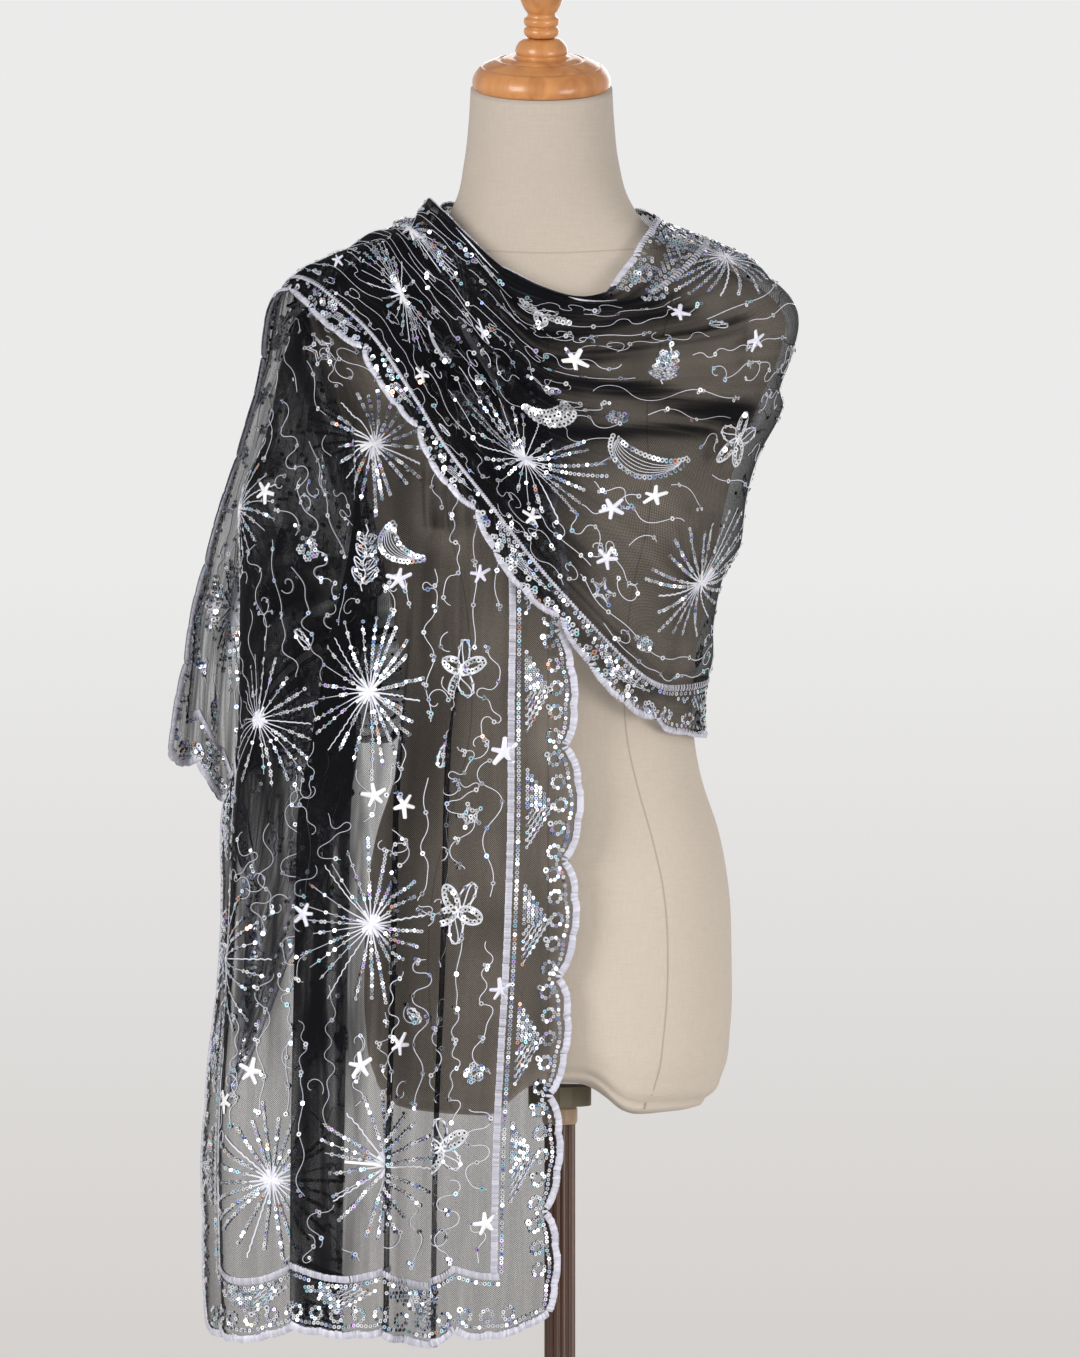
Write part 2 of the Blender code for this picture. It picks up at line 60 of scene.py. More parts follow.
# %% Sizes of the strip and the form
STOLE_LENGTH = 1910.0
STOLE_WIDTH = 500.0
SCALLOPS_LONG = 22
SCALLOPS_END = 6
SCALLOP_DEPTH = 12.0
LADDER_IN = 50.0

BODY_X = -9.0
NECK_TILT = math.radians(16.0)
NECK_TOP = 1450.0
SQUARENESS = 2.25
BUST_RISE = 13.0
BUST_Z = 1128.0
BUST_ANGLE = 0.60

# Torso sections: height, half width, depth in front, depth behind, centre x, centre y.
TORSO = (
    (669, 62, 46, 52, 0, 2),
    (672, 96, 72, 80, 0, 2),
    (682, 121, 88, 97, 0, 2),
    (700, 133, 97, 107, 0, 2),
    (735, 139, 102, 113, 0, 2),
    (790, 140, 104, 114, 0, 2),
    (840, 138, 102, 110, 0, 2),
    (885, 130, 97, 101, 0, 2),
    (925, 117, 92, 92, 0, 2),
    (960, 111, 89, 87, 0, 2),
    (1000, 111, 92, 86, 0, 2),
    (1060, 120, 103, 90, 0, 2),
    (1120, 132, 112, 95, 0, 3),
    (1175, 146, 106, 98, 0, 4),
    (1220, 165, 94, 98, 0, 6),
    (1255, 179, 82, 94, 0, 8),
    (1280, 180, 72, 88, 0, 9),
    (1298, 164, 66, 80, 0, 9),
    (1314, 138, 62, 72, -1, 9),
    (1330, 104, 59, 66, -2, 8),
    (1346, 80, 58, 62, -3, 6),
    (1365, 67, 57, 59, -4, 3),
    (1395, 59, 55, 56, -5, -2),
    (1425, 55.5, 53.5, 54, -5, -6),
    (1450, 54, 53, 53, -5, -9),
)

# Drape sections: length along, then the worn strip in mm from the centre of the body at
# edge one, a quarter, the middle, three quarters and edge two.
SECTIONS = (
    (0, (8, -106, 522), (-80, -126, 503), (-165, -120, 512), (-240, -78, 502), (-262, 6, 504)),
    (150, (12, -112, 668), (-78, -130, 655), (-163, -122, 655), (-242, -76, 652), (-264, 6, 650)),
    (300, (23, -119, 820), (-72, -134, 808), (-160, -124, 802), (-236, -74, 800), (-250, 10, 798)),
    (420, (26, -121, 938), (-70, -136, 928), (-158, -124, 922), (-232, -70, 918), (-246, 20, 912)),
    (500, (20, -124, 1018), (-72, -136, 1008), (-156, -120, 1000), (-232, -50, 985), (-224, 70, 930)),
    (600, (12, -128, 1117), (-76, -132, 1108), (-158, -108, 1100), (-234, -15, 1075), (-160, 104, 945)),
    (700, (2, -122, 1214), (-86, -112, 1215), (-178, -62, 1205), (-226, 30, 1130), (-90, 110, 955)),
    (800, (-36, -92, 1292), (-125, -72, 1285), (-190, 8, 1270), (-150, 98, 1140), (-5, 110, 955)),
    (842, (-64, -44, 1340), (-132, 8, 1334), (-150, 82, 1250), (-66, 112, 1130), (36, 108, 950)),
    (885, (-80, 8, 1364), (-104, 72, 1300), (-52, 110, 1190), (20, 112, 1065), (80, 88, 948)),
    (980, (0, 82, 1352), (100, 72, 1298), (165, 45, 1200), (126, 40, 1070), (103, 0, 952)),
    (1050, (73, 6, 1356), (170, 0, 1304), (163, -22, 1185), (100, -74, 1042), (74, -96, 966)),
    (1140, (30, -74, 1289), (96, -80, 1268), (100, -105, 1190), (30, -138, 1098), (-8, -144, 1048)),
    (1225, (-46, -64, 1321), (-10, -95, 1262), (0, -127, 1205), (-30, -142, 1155), (-66, -145, 1128)),
    (1278, (-84, -16, 1364), (-50, -80, 1300), (-38, -110, 1240), (-60, -130, 1190), (-92, -130, 1165)),
    (1330, (-90, 50, 1354), (-104, -24, 1346), (-84, -74, 1290), (-90, -104, 1235), (-114, -108, 1202)),
    (1420, (-112, 98, 1210), (-120, 62, 1318), (-132, 0, 1342), (-127, -62, 1290), (-164, -62, 1262)),
    (1480, (-120, 106, 1135), (-132, 86, 1262), (-156, 34, 1320), (-174, -8, 1318), (-201, -14, 1294)),
    (1600, (-138, 114, 1020), (-152, 106, 1130), (-172, 88, 1215), (-203, 60, 1240), (-228, 42, 1212)),
    (1750, (-166, 118, 868), (-192, 118, 940), (-222, 106, 1000), (-252, 88, 1050), (-270, 70, 1080)),
    (1910, (-254, 106, 655), (-240, 116, 748), (-238, 114, 842), (-262, 102, 915), (-298, 86, 938)),
)

# How far the strip lies off the torso: length along, least, most near edge one, most near edge two.
LAID = (
    (0, 6, 900, 900),
    (480, 6, 300, 900),
    (600, 6, 16, 300),
    (700, 6, 10, 70),
    (790, 5.1, 10, 12),
    (940, 5.1, 12, 12),
    (985, 9, 13, 13),
    (1050, 9, 16, 16),
    (1100, 10, 18, 30),
    (1150, 16, 24, 60),
    (1200, 20, 40, 60),
    (1270, 20, 70, 45),
    (1340, 20, 60, 32),
    (1480, 20, 30, 32),
    (1560, 20, 60, 60),
    (1640, 20, 900, 900),
    (1910, 20, 900, 900),
)

# Pleats of three layers that run along the strip: flat start across, width, layer lift,
# then the lengths along where it begins, is full, is still full and is gone.
PLEATS = (
    (96, 8, 2.6, -200, -100, 430, 560),
    (150, 8, 2.6, -200, -100, 430, 560),
    (204, 46, 4.8, -200, -100, 380, 720),
)
PLEAT_TURN = 2.2

# Soft waves that run along the strip: centre across as it shows, half width, lift,
# then the lengths along where it begins, is full, is still full and is gone.
WAVES = (
    (40, 34, 5, -200, -100, 380, 620),
    (117, 21, -13, -260, -100, 120, 420),
    (155, 14, 3, -200, -100, 200, 500),
    (268, 30, 7, -200, -100, 420, 640),
    (318, 28, -8, -200, -100, 420, 640),
    (60, 30, 3.5, 760, 860, 940, 1040),
    (150, 34, 4, 760, 860, 980, 1080),
    (240, 36, 4.5, 760, 870, 1000, 1090),
    (330, 34, 4.5, 760, 870, 1000, 1090),
    (425, 36, 6, 640, 800, 960, 1060),
    (56, 20, 3, 1060, 1130, 1150, 1230),
    (104, 20, 4.5, 1040, 1150, 1190, 1300),
    (156, 20, 4.5, 1040, 1160, 1200, 1340),
    (208, 20, 5, 1060, 1180, 1250, 1400),
    (260, 20, 4.5, 1080, 1200, 1250, 1400),
    (312, 19, 5, 1080, 1200, 1270, 1440),
    (362, 20, 5.5, 1080, 1200, 1290, 1460),
    (412, 19, 4, 1080, 1200, 1290, 1460),
    (55, 44, 10, 1500, 1700, 1780, 2000),
    (150, 46, 11, 1500, 1700, 1780, 2000),
    (245, 44, 11, 1500, 1700, 2100, 2200),
    (340, 44, 8.5, 1500, 1700, 2100, 2200),
    (432, 40, 9, 1500, 1700, 2100, 2200),
)

# %% [markdown]
# ## From the flat strip to the worn one
#
# A smooth curve runs through the sections, and the torso pushes the strip out or holds it close.
# Pleats and waves then shift and lift the points. One table of the worn strip, every 2 mm across
# and 2.5 mm along, is worked out once. All later steps only look their places up in it.


# %% Curves and fades
def curve_through(at, values, x):
    """A smooth curve through rows of values, read at x."""
    at = np.asarray(at, float)
    values = np.asarray(values, float)
    x = np.clip(np.asarray(x, float), at[0], at[-1])
    step = np.diff(at)
    rise = np.diff(values, axis=0) / step.reshape((-1,) + (1,) * (values.ndim - 1))
    slope = np.empty_like(values)
    slope[0] = rise[0]
    slope[-1] = rise[-1]
    share = (step[:-1] / (step[:-1] + step[1:])).reshape((-1,) + (1,) * (values.ndim - 1))
    slope[1:-1] = rise[:-1] * (1.0 - share) + rise[1:] * share
    row = np.clip(np.searchsorted(at, x, side="right") - 1, 0, len(at) - 2)
    more = (1,) * (values.ndim - 1)
    f = ((x - at[row]) / step[row]).reshape(x.shape + more)
    wide = step[row].reshape(x.shape + more)
    at_start = (2 * f ** 3 - 3 * f ** 2 + 1) * values[row] + (f ** 3 - 2 * f ** 2 + f) * wide * slope[row]
    at_end = (3 * f ** 2 - 2 * f ** 3) * values[row + 1] + (f ** 3 - f ** 2) * wide * slope[row + 1]
    return at_start + at_end


def ease(x):
    x = np.clip(x, 0.0, 1.0)
    return x * x * (3.0 - 2.0 * x)


def fade(x, begins, full, still, gone):
    """0 before begins, 1 from full to still, and 0 again once gone."""
    return ease((x - begins) / (full - begins)) * (1.0 - ease((x - still) / (gone - still)))


# %% The torso's shape
def torso_section(z):
    """Half width, depth in front, depth behind and centre of the torso at heights z."""
    table = np.array(TORSO)
    return curve_through(table[:, 0], table[:, 1:], z)


def torso_radius(angle, z):
    size = torso_section(z)
    depth = np.where(np.cos(angle) > 0.0, size[..., 1], size[..., 2])
    side = (np.abs(np.sin(angle)) / size[..., 0]) ** SQUARENESS
    fore = (np.abs(np.cos(angle)) / depth) ** SQUARENESS
    bust = BUST_RISE * np.exp(-((np.abs(angle) - BUST_ANGLE) / 0.36) ** 2)
    bust = bust * np.exp(-((z - BUST_Z) / 50.0) ** 2)
    return (side + fore) ** (-1.0 / SQUARENESS) + bust


def off_torso(p):
    """How far points lie off the torso, measured level."""
    size = torso_section(p[..., 2])
    dx = p[..., 0] - size[..., 3]
    dy = p[..., 1] - size[..., 4]
    return np.hypot(dx, dy) - torso_radius(np.arctan2(dx, -dy), p[..., 2])


def lay_on_torso(p, least, most):
    """Push points out, or pull them in, until they lie between least and most off the torso."""
    for _ in range(5):
        here = off_torso(p)
        way = np.stack([(off_torso(p + d) - off_torso(p - d)) / 2.0 for d in np.eye(3)], axis=-1)
        long = np.maximum(np.linalg.norm(way, axis=-1), 0.6)
        gap = here / long
        want = np.clip(gap, least, most)
        p = p + way * ((want - gap) / long)[..., None]
    return p


# %% Functions that drape the strip
def smooth_drape(t, along):
    """The strip without folds. t is the share of the shown width, from edge one to edge two."""
    rows = [r[0] for r in SECTIONS]
    points = np.array([r[1:] for r in SECTIONS], float)
    laid = np.array(LAID)
    section = curve_through(rows, points, along)
    at = np.clip(t, 0.0, 1.0) * 4.0
    low = np.clip(np.floor(at), 0, 3).astype(int)
    f = (at - low)[..., None]

    def pick(k):
        return np.take_along_axis(section, np.clip(k, 0, 4)[..., None, None], axis=-2)[..., 0, :]

    a, b, c, d = pick(low - 1), pick(low), pick(low + 1), pick(low + 2)
    a = np.where((low == 0)[..., None], 2 * b - c, a)
    d = np.where((low == 3)[..., None], 2 * c - b, d)
    bend = (2 * a - 5 * b + 4 * c - d) * f ** 2 + (3 * b - 3 * c + d - a) * f ** 3
    p = 0.5 * (2 * b + (c - a) * f + bend)
    least, most_one, most_two = (np.interp(along, laid[:, 0], laid[:, k]) for k in (1, 2, 3))
    most = most_one + (most_two - most_one) * ease((np.clip(t, 0.0, 1.0) - 0.30) / 0.35)
    return lay_on_torso(p, least, most)


def soft_ramp(x, turn):
    return 0.5 * (x + np.sqrt(x * x + turn * turn))


def fold_place(across, along):
    """Where pleats and waves bring a flat place: its share of the shown width, and its lift."""
    shown = across.copy()
    lift = np.zeros_like(across)
    hidden = np.zeros_like(across)
    for start, wide, layer, begins, full, still, gone in PLEATS:
        w = wide * fade(along, begins, full, still, gone)
        q = across - start
        turn = PLEAT_TURN + 0.6 * np.clip(min(wide, 14.0) - w, 0.0, None)
        shown = shown - 2.0 * soft_ramp(q - w, turn) + 2.0 * soft_ramp(q - 2.0 * w, turn)
        hidden = hidden + 2.0 * w
        h = layer * ease(w / 3.5)
        rise = 9.0 + 0.12 * wide
        lift = lift + 2.0 * h * ease((q + rise) / rise)
        lift = lift - h * ease((q - w + 3.4) / 6.8) - h * ease((q - 2.0 * w + 3.4) / 6.8)
    for centre, half, high, begins, full, still, gone in WAVES:
        on = fade(along, begins, full, still, gone)
        lift = lift + high * on * np.exp(-((shown - centre) / (0.62 * half)) ** 2)
    return shown / (STOLE_WIDTH - hidden), lift


def worn(across, along):
    """Flat places of the strip to places in mm on the form, seen from the form's own middle."""
    t, lift = fold_place(across, along)
    p = smooth_drape(t, along)
    lo = np.clip(t, 0.004, 0.996)
    du = smooth_drape(lo + 0.004, along) - smooth_drape(lo - 0.004, along)
    dv = smooth_drape(lo, along + 3.0) - smooth_drape(lo, along - 3.0)
    n = np.cross(dv, du)
    n = n / np.maximum(np.linalg.norm(n, axis=-1, keepdims=True), 1e-6)
    return p + n * lift[..., None]


# %% Table of the worn strip
U_STEP, V_STEP = 2.0, 2.5
table_u = np.arange(0.0, STOLE_WIDTH + 0.1, U_STEP)
table_v = np.arange(0.0, STOLE_LENGTH + 0.1, V_STEP)
grid_u, grid_v = np.meshgrid(table_u, table_v, indexing="ij")
worn_at = worn(grid_u, grid_v) + np.array([BODY_X, 0.0, 0.0])
to_u = np.gradient(worn_at, axis=0)
to_v = np.gradient(worn_at, axis=1)
out_at = np.cross(to_v, to_u)
out_at = out_at / np.maximum(np.linalg.norm(out_at, axis=-1, keepdims=True), 1e-6)

# Where the net is bunched, more of it lies in each square mm than on the flat strip.
worn_area = np.linalg.norm(np.cross(to_u / U_STEP, to_v / V_STEP), axis=-1)
gather_at = 1.0 / np.maximum(worn_area, 0.2)
for _ in range(3):
    gather_at[1:-1] = (gather_at[:-2] + 2 * gather_at[1:-1] + gather_at[2:]) / 4
    gather_at[:, 1:-1] = (gather_at[:, :-2] + 2 * gather_at[:, 1:-1] + gather_at[:, 2:]) / 4
gather_at = np.clip(gather_at - 0.2, 1.0, 3.4)
gather_at = 1.0 + (gather_at - 1.0) * (1.0 - 0.7 * ease((grid_v - 1500.0) / 60.0))

# %% Tucks
# Small tucks too fine for the drape: strength, half width, then flat points along the tuck.
TUCKS = (
    (2.6, 9, (236, 1085), (232, 1137), (212, 1175), (206, 1200), (216, 1235)),
    (2.2, 7, (250, 1120), (262, 1167), (284, 1212)),
    (1.8, 8, (150, 1105), (150, 1160), (162, 1195), (190, 1240)),
    (1.6, 7, (112, 1130), (108, 1165), (120, 1200), (150, 1245)),
    (1.6, 24, (60, 1150), (60, 1200), (110, 1230)),
    (1.8, 16, (30, 1165), (30, 1215), (20, 1260)),
    (1.4, 26, (250, 1235), (330, 1225), (420, 1205)),
    (1.5, 30, (230, 560), (236, 640), (250, 740)),
    (1.9, 28, (226, 240), (226, 420), (230, 560)),
    (1, 26, (300, 420), (310, 560), (330, 700)),
    (1.3, 25, (226, 60), (226, 240)),
    (2.1, 42, (400, 480), (420, 600), (440, 700)),
    (1.3, 44, (410, 262), (420, 340), (410, 460)),
    (1.3, 34, (90, 1425), (200, 1420), (380, 1425)),
    (0.7, 30, (360, 300), (360, 420), (370, 620)),
)


def beside(u, v, points):
    """How far flat places are from a line of flat points."""
    nearest = np.full(np.shape(u), 1e9)
    for (u0, v0), (u1, v1) in zip(points[:-1], points[1:]):
        du, dv = u1 - u0, v1 - v0
        share = np.clip(((u - u0) * du + (v - v0) * dv) / (du * du + dv * dv), 0.0, 1.0)
        nearest = np.minimum(nearest, np.hypot(u - u0 - share * du, v - v0 - share * dv))
    return nearest


for strength, half, *points in TUCKS:
    gather_at += strength * np.exp(-(beside(grid_u, grid_v, points) / half) ** 2)


# %% Reading the table
def look_up(table, u, v):
    """Read one of the tables at flat points, between its rows and columns."""
    a = np.clip(np.asarray(u, float) / U_STEP, 0.0, len(table_u) - 1.001)
    b = np.clip(np.asarray(v, float) / V_STEP, 0.0, len(table_v) - 1.001)
    i, j = a.astype(int), b.astype(int)
    f, g = (a - i)[..., None], (b - j)[..., None]
    near = table[i, j] * (1 - g) + table[i, j + 1] * g
    far = table[i + 1, j] * (1 - g) + table[i + 1, j + 1] * g
    return near * (1 - f) + far * f


def on_net(u, v, up=0.0):
    """Flat points of the strip to places in mm, lifted off its outer face by up."""
    up = np.asarray(up, float)
    return look_up(worn_at, u, v) + look_up(out_at, u, v) * (up[..., None] if up.ndim else up)


def bunching(u, v):
    """How closely the net is gathered at flat points. 1 is the flat strip."""
    return look_up(gather_at[..., None], u, v)[..., 0]


print("worn strip worked out at", worn_at.shape[0] * worn_at.shape[1], "points")

# %% [markdown]
# ## Materials
#
# Real net is a fine mesh of black thread. Its holes could be modelled, but the strip has hundreds of
# thousands of them, so the material opens them: a thread pattern drawn from the strip's flat lengths.
# Threads cover more of the view where the net is seen edge on, so the folds darken by themselves.
# Where the net is gathered it lets less light through, and the points of its mesh say how much.
# Sequins are thin metallic foil. Each has its own tint, and most are plain silver; the greyer silvers and
# each sequin's spread in brightness are painted shade. Linen is two noises stretched across each other,
# like its yarns, because a drawn weave would shimmer from afar.


# %% Helpers for materials
def new_material(name, colour, roughness, metallic=0.0, coat=0.0):
    m = bpy.data.materials.new(name)
    m.use_nodes = True
    b = m.node_tree.nodes["Principled BSDF"]
    b.inputs["Base Color"].default_value = (*colour, 1.0)
    b.inputs["Roughness"].default_value = roughness
    b.inputs["Metallic"].default_value = metallic
    b.inputs["Coat Weight"].default_value = coat
    return m, m.node_tree, b


def is_socket(value):
    return isinstance(value, bpy.types.NodeSocket)


def node(tree, kind, inputs=(), **settings):
    """One new node. inputs pairs a name or number with a socket to link or a value to set."""
    n = tree.nodes.new(kind)
    for key, value in settings.items():
        setattr(n, key, value)
    for key, value in dict(inputs).items():
        if is_socket(value):
            tree.links.new(value, n.inputs[key])
        else:
            n.inputs[key].default_value = value
    return n


def maths(tree, operation, a, b=None):
    """One Math node. a and b are sockets or numbers."""
    inputs = {0: a} if b is None else {0: a, 1: b}
    return node(tree, "ShaderNodeMath", inputs, operation=operation).outputs[0]


def between(tree, factor, a, b):
    """Mix two colours by a socket. Each is a socket or three numbers."""
    a, b = (c if is_socket(c) else (*c, 1.0) for c in (a, b))
    return node(tree, "ShaderNodeMix", {0: factor, 6: a, 7: b}, data_type="RGBA").outputs[2]


def ranged(tree, value, low, high, to_low=0.0, to_high=1.0):
    """Stretch low..high to to_low..to_high, and clip it there."""
    inputs = {"Value": value, "From Min": low, "From Max": high, "To Min": to_low, "To Max": to_high}
    return node(tree, "ShaderNodeMapRange", inputs).outputs[0]


def noise(tree, place, stretch, scale=1.0, detail=2.0, distortion=0.0):
    """Noise at a place that is stretched along its axes first."""
    place = node(tree, "ShaderNodeMapping", {"Vector": place, "Scale": stretch}).outputs[0]
    inputs = {"Vector": place, "Scale": scale, "Detail": detail, "Distortion": distortion}
    return node(tree, "ShaderNodeTexNoise", inputs).outputs[0]


def bumped(tree, base, height, strength, distance):
    bump = node(tree, "ShaderNodeBump", {"Height": height, "Strength": strength, "Distance": distance})
    tree.links.new(bump.outputs[0], base.inputs["Normal"])


def tint_of(tree):
    """The colours kept on the points of a mesh."""
    return node(tree, "ShaderNodeVertexColor", layer_name="tint").outputs["Color"]


# %% Net
MESH_PITCH, THREAD_SHARE = 1.5, 0.36
NET_COVER, HAZE_LEAST, HAZE_MORE = 0.92, 0.12, 0.80
LET_THROUGH, FLAT_GATHER = 0.42, 0.90
net, tree, base = new_material("black_net", (0.0035, 0.0035, 0.005), 0.7)
base.inputs["Specular IOR Level"].default_value = 0.06
flat_place = node(tree, "ShaderNodeUVMap", uv_map="flat").outputs[0]
parts = node(tree, "ShaderNodeSeparateXYZ", {0: flat_place})
slants = []
for operation in ("ADD", "SUBTRACT"):
    slant = maths(tree, operation, parts.outputs[0], parts.outputs[1])
    slant = maths(tree, "SINE", maths(tree, "MULTIPLY", slant, math.pi / MESH_PITCH))
    slants.append(maths(tree, "ABSOLUTE", slant))
in_thread = maths(tree, "LESS_THAN", maths(tree, "MINIMUM", *slants), THREAD_SHARE)
edge_on = node(tree, "ShaderNodeLayerWeight", {"Blend": 0.5}).outputs["Facing"]
grazing = maths(tree, "POWER", edge_on, 2.0)
haze = maths(tree, "ADD", maths(tree, "MULTIPLY", grazing, HAZE_MORE), HAZE_LEAST)
cover = maths(tree, "MAXIMUM", maths(tree, "MULTIPLY", in_thread, NET_COVER), haze)
gather = node(tree, "ShaderNodeSeparateColor", {0: tint_of(tree)}).outputs[0]
uneven = ranged(tree, noise(tree, flat_place, (0.085, 0.0075, 1.0), 1.0, 3.0, 0.4), 0.36, 0.64, 0.20, 2.1)
more = maths(tree, "MULTIPLY", maths(tree, "SUBTRACT", gather, FLAT_GATHER), uneven)
let_through = maths(tree, "POWER", LET_THROUGH, more)
open_part = maths(tree, "MULTIPLY", maths(tree, "SUBTRACT", 1.0, cover), let_through)
cover = maths(tree, "SUBTRACT", 1.0, open_part)
clear = node(tree, "ShaderNodeBsdfTransparent")
mixed = node(tree, "ShaderNodeMixShader", {0: cover, 1: clear.outputs[0], 2: base.outputs[0]})
tree.links.new(mixed.outputs[0], tree.nodes["Material Output"].inputs["Surface"])

# %% Satin, thread and sequin foil
satin, tree, base = new_material("satin_thread", (0.72, 0.71, 0.80), 0.36, 0.15)
tree.links.new(tint_of(tree), base.inputs["Base Color"])
spot = node(tree, "ShaderNodeTexCoord").outputs["Object"]
bumped(tree, base, noise(tree, spot, (1.0, 1.0, 1.0), 1400.0), 0.6, 0.0004)

silver_thread = new_material("silver_thread", (0.76, 0.77, 0.85), 0.40, 0.1)[0]

HOLE_SHARE = 0.37
foil, tree, base = new_material("sequin_foil", (0.8, 0.8, 0.85), 0.27, 0.85, 0.5)
spot = node(tree, "ShaderNodeUVMap", uv_map="flat").outputs[0]
reach = node(tree, "ShaderNodeVectorMath", {0: spot}, operation="LENGTH")
hole = maths(tree, "LESS_THAN", reach.outputs["Value"], HOLE_SHARE)
tree.links.new(between(tree, hole, tint_of(tree), (0.01, 0.01, 0.015)), base.inputs["Base Color"])

# %% Linen: two yarns that cross, with painted shade on the neck
linen, tree, base = new_material("beige_linen", (0.56, 0.49, 0.40), 0.9)
spot = node(tree, "ShaderNodeTexCoord").outputs["Object"]
yarns = ((1100.0, 1100.0, 90.0), (90.0, 90.0, 1100.0))
weave = [noise(tree, spot, stretch, detail=1.0) for stretch in yarns]
yarn = maths(tree, "MULTIPLY", maths(tree, "ADD", *weave), 0.5)
height = node(tree, "ShaderNodeSeparateXYZ", {0: spot}).outputs[2]
body_colour = between(tree, yarn, (0.53, 0.454, 0.378), (0.675, 0.585, 0.49))
# From 1.24 m up to 1.38 m the linen is painted darker: painted shade on the neck.
shaded_neck_colour = between(tree, yarn, (0.45, 0.386, 0.325), (0.575, 0.497, 0.42))
painted_neck_shade = between(tree, ranged(tree, height, 1.24, 1.38), body_colour, shaded_neck_colour)
tree.links.new(painted_neck_shade, base.inputs["Base Color"])
bumped(tree, base, yarn, 0.18, 0.0006)

seam_linen = new_material("linen_seam", (0.45, 0.385, 0.315), 0.9)[0]


# %% Woods and the plate
def turned_wood(name, dark_part, light_part, roughness):
    m, tree, base = new_material(name, light_part, roughness, coat=0.25)
    spot = node(tree, "ShaderNodeTexCoord").outputs["Object"]
    grain = noise(tree, spot, (38.0, 38.0, 9.0), 1.6, 4.0, 1.2)
    tree.links.new(between(tree, grain, dark_part, light_part), base.inputs["Base Color"])
    return m


honey = turned_wood("honey_wood", (0.30, 0.085, 0.02), (0.80, 0.38, 0.13), 0.30)
dark_wood = turned_wood("dark_wood", (0.034, 0.011, 0.003), (0.110, 0.036, 0.010), 0.46)
collar_wood = turned_wood("tan_collar", (0.30, 0.19, 0.11), (0.50, 0.36, 0.23), 0.45)
plate_metal = new_material("olive_plate", (0.17, 0.15, 0.10), 0.5, 0.25)[0]
print("materials:", len(bpy.data.materials))


# %% [markdown]
# ## Small tools for building meshes
#
# Thousands of stitches and sequins would be slow as objects of their own. Each kind is gathered in
# one list and joined into one mesh from arrays, which Blender makes in one go.


# %% Mesh tools
def mesh_object(name, vertices, faces, material, smooth=True, tints=None, flat=None):
    """One mesh object from points in mm. flat holds one pair per vertex for the "flat" map."""
    mesh = bpy.data.meshes.new(name)
    mesh.from_pydata((np.asarray(vertices) * MM).tolist(), [], [list(f) for f in faces])
    mesh.materials.append(material)
    mesh.polygons.foreach_set("use_smooth", [smooth] * len(mesh.polygons))
    if flat is not None:
        layer = mesh.uv_layers.new(name="flat")
        corner = np.empty(len(mesh.loops), int)
        mesh.loops.foreach_get("vertex_index", corner)
        layer.data.foreach_set("uv", np.asarray(flat, float)[corner].ravel())
    if tints is not None:
        layer = mesh.color_attributes.new(name="tint", type="FLOAT_COLOR", domain="POINT")
        rgba = np.ones((len(tints), 4))
        rgba[:, :3] = tints
        layer.data.foreach_set("color", rgba.ravel())
    mesh.update()
    ob = bpy.data.objects.new(name, mesh)
    bpy.context.scene.collection.objects.link(ob)
    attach(ob, "root")
    return ob


def joined(name, parts, material, tints=None):
    """Join many small pieces, each (points, faces), into one mesh."""
    count = 0
    points, faces = [], []
    for p, f in parts:
        points.append(p)
        faces.append(np.asarray(f) + count)
        count += len(p)
    every = [row for block in faces for row in block.tolist()]
    return mesh_object(name, np.concatenate(points), every, material, True, tints)


FLOSS = np.array([[0.80, 0.79, 0.90]])


def floss_tints(count, each, light):
    """Satin colour for count stitches of each points, every stitch a little different in tone. The last
    number scales it all as painted light: below 1 it is painted shade, above 1 a painted brightening.
    """
    shade = rng.uniform(0.76, 1.10, (count, 1)) * light
    return np.repeat(np.clip(FLOSS * shade, 0, 0.95), each, axis=0)


def tube_faces(rings, around):
    """Faces between rings of points that stand one above the other."""
    j = np.arange(around)
    k = (j + 1) % around
    low = np.arange(rings - 1)[:, None] * around
    return np.stack([low + j, low + k, low + around + k, low + around + j], axis=-1).reshape(-1, 4)


def grid_faces(rows, columns):
    i, j = np.meshgrid(np.arange(rows - 1), np.arange(columns - 1), indexing="ij")
    a = (i * columns + j).ravel()
    return np.stack([a, a + 1, a + columns + 1, a + columns], axis=1)


def beside_way(n, ahead):
    """Unit directions that lie on the net and cross the way ahead."""
    aside = np.cross(n, ahead)
    return aside / np.maximum(np.linalg.norm(aside, axis=-1, keepdims=True), 1e-6)


def ribbon(path, width, up, dome):
    """A line of thread on the net. path is flat points; width is one number or one for each."""
    path = np.asarray(path, float)
    middle = on_net(path[:, 0], path[:, 1], up)
    n = look_up(out_at, path[:, 0], path[:, 1])
    half = np.broadcast_to(width, len(path)) / 2 / bunching(path[:, 0], path[:, 1]) ** 0.55
    aside = beside_way(n, np.gradient(middle, axis=0)) * half[:, None]
    p = np.stack([middle - aside, middle + n * dome, middle + aside], axis=1)
    return p.reshape(-1, 3), grid_faces(len(path), 3)


# %% [markdown]
# ## The net
#
# The real net has no thickness to speak of, so it stays a single sheet: a fine grid over the flat
# strip, drawn in at the scalloped edges and then draped. A subdivided plane would do as well, but a
# grid of our own can have closer columns where the pleats turn.


# %% Net sheet
LOBE_DEPTH = 1.8
PITCH_LONG = STOLE_LENGTH / SCALLOPS_LONG
PITCH_END = STOLE_WIDTH / SCALLOPS_END
# Where edge two lies along the diagonal: begins, full, still full, gone.
DIAGONAL = (1020.0, 1100.0, 1430.0, 1490.0)


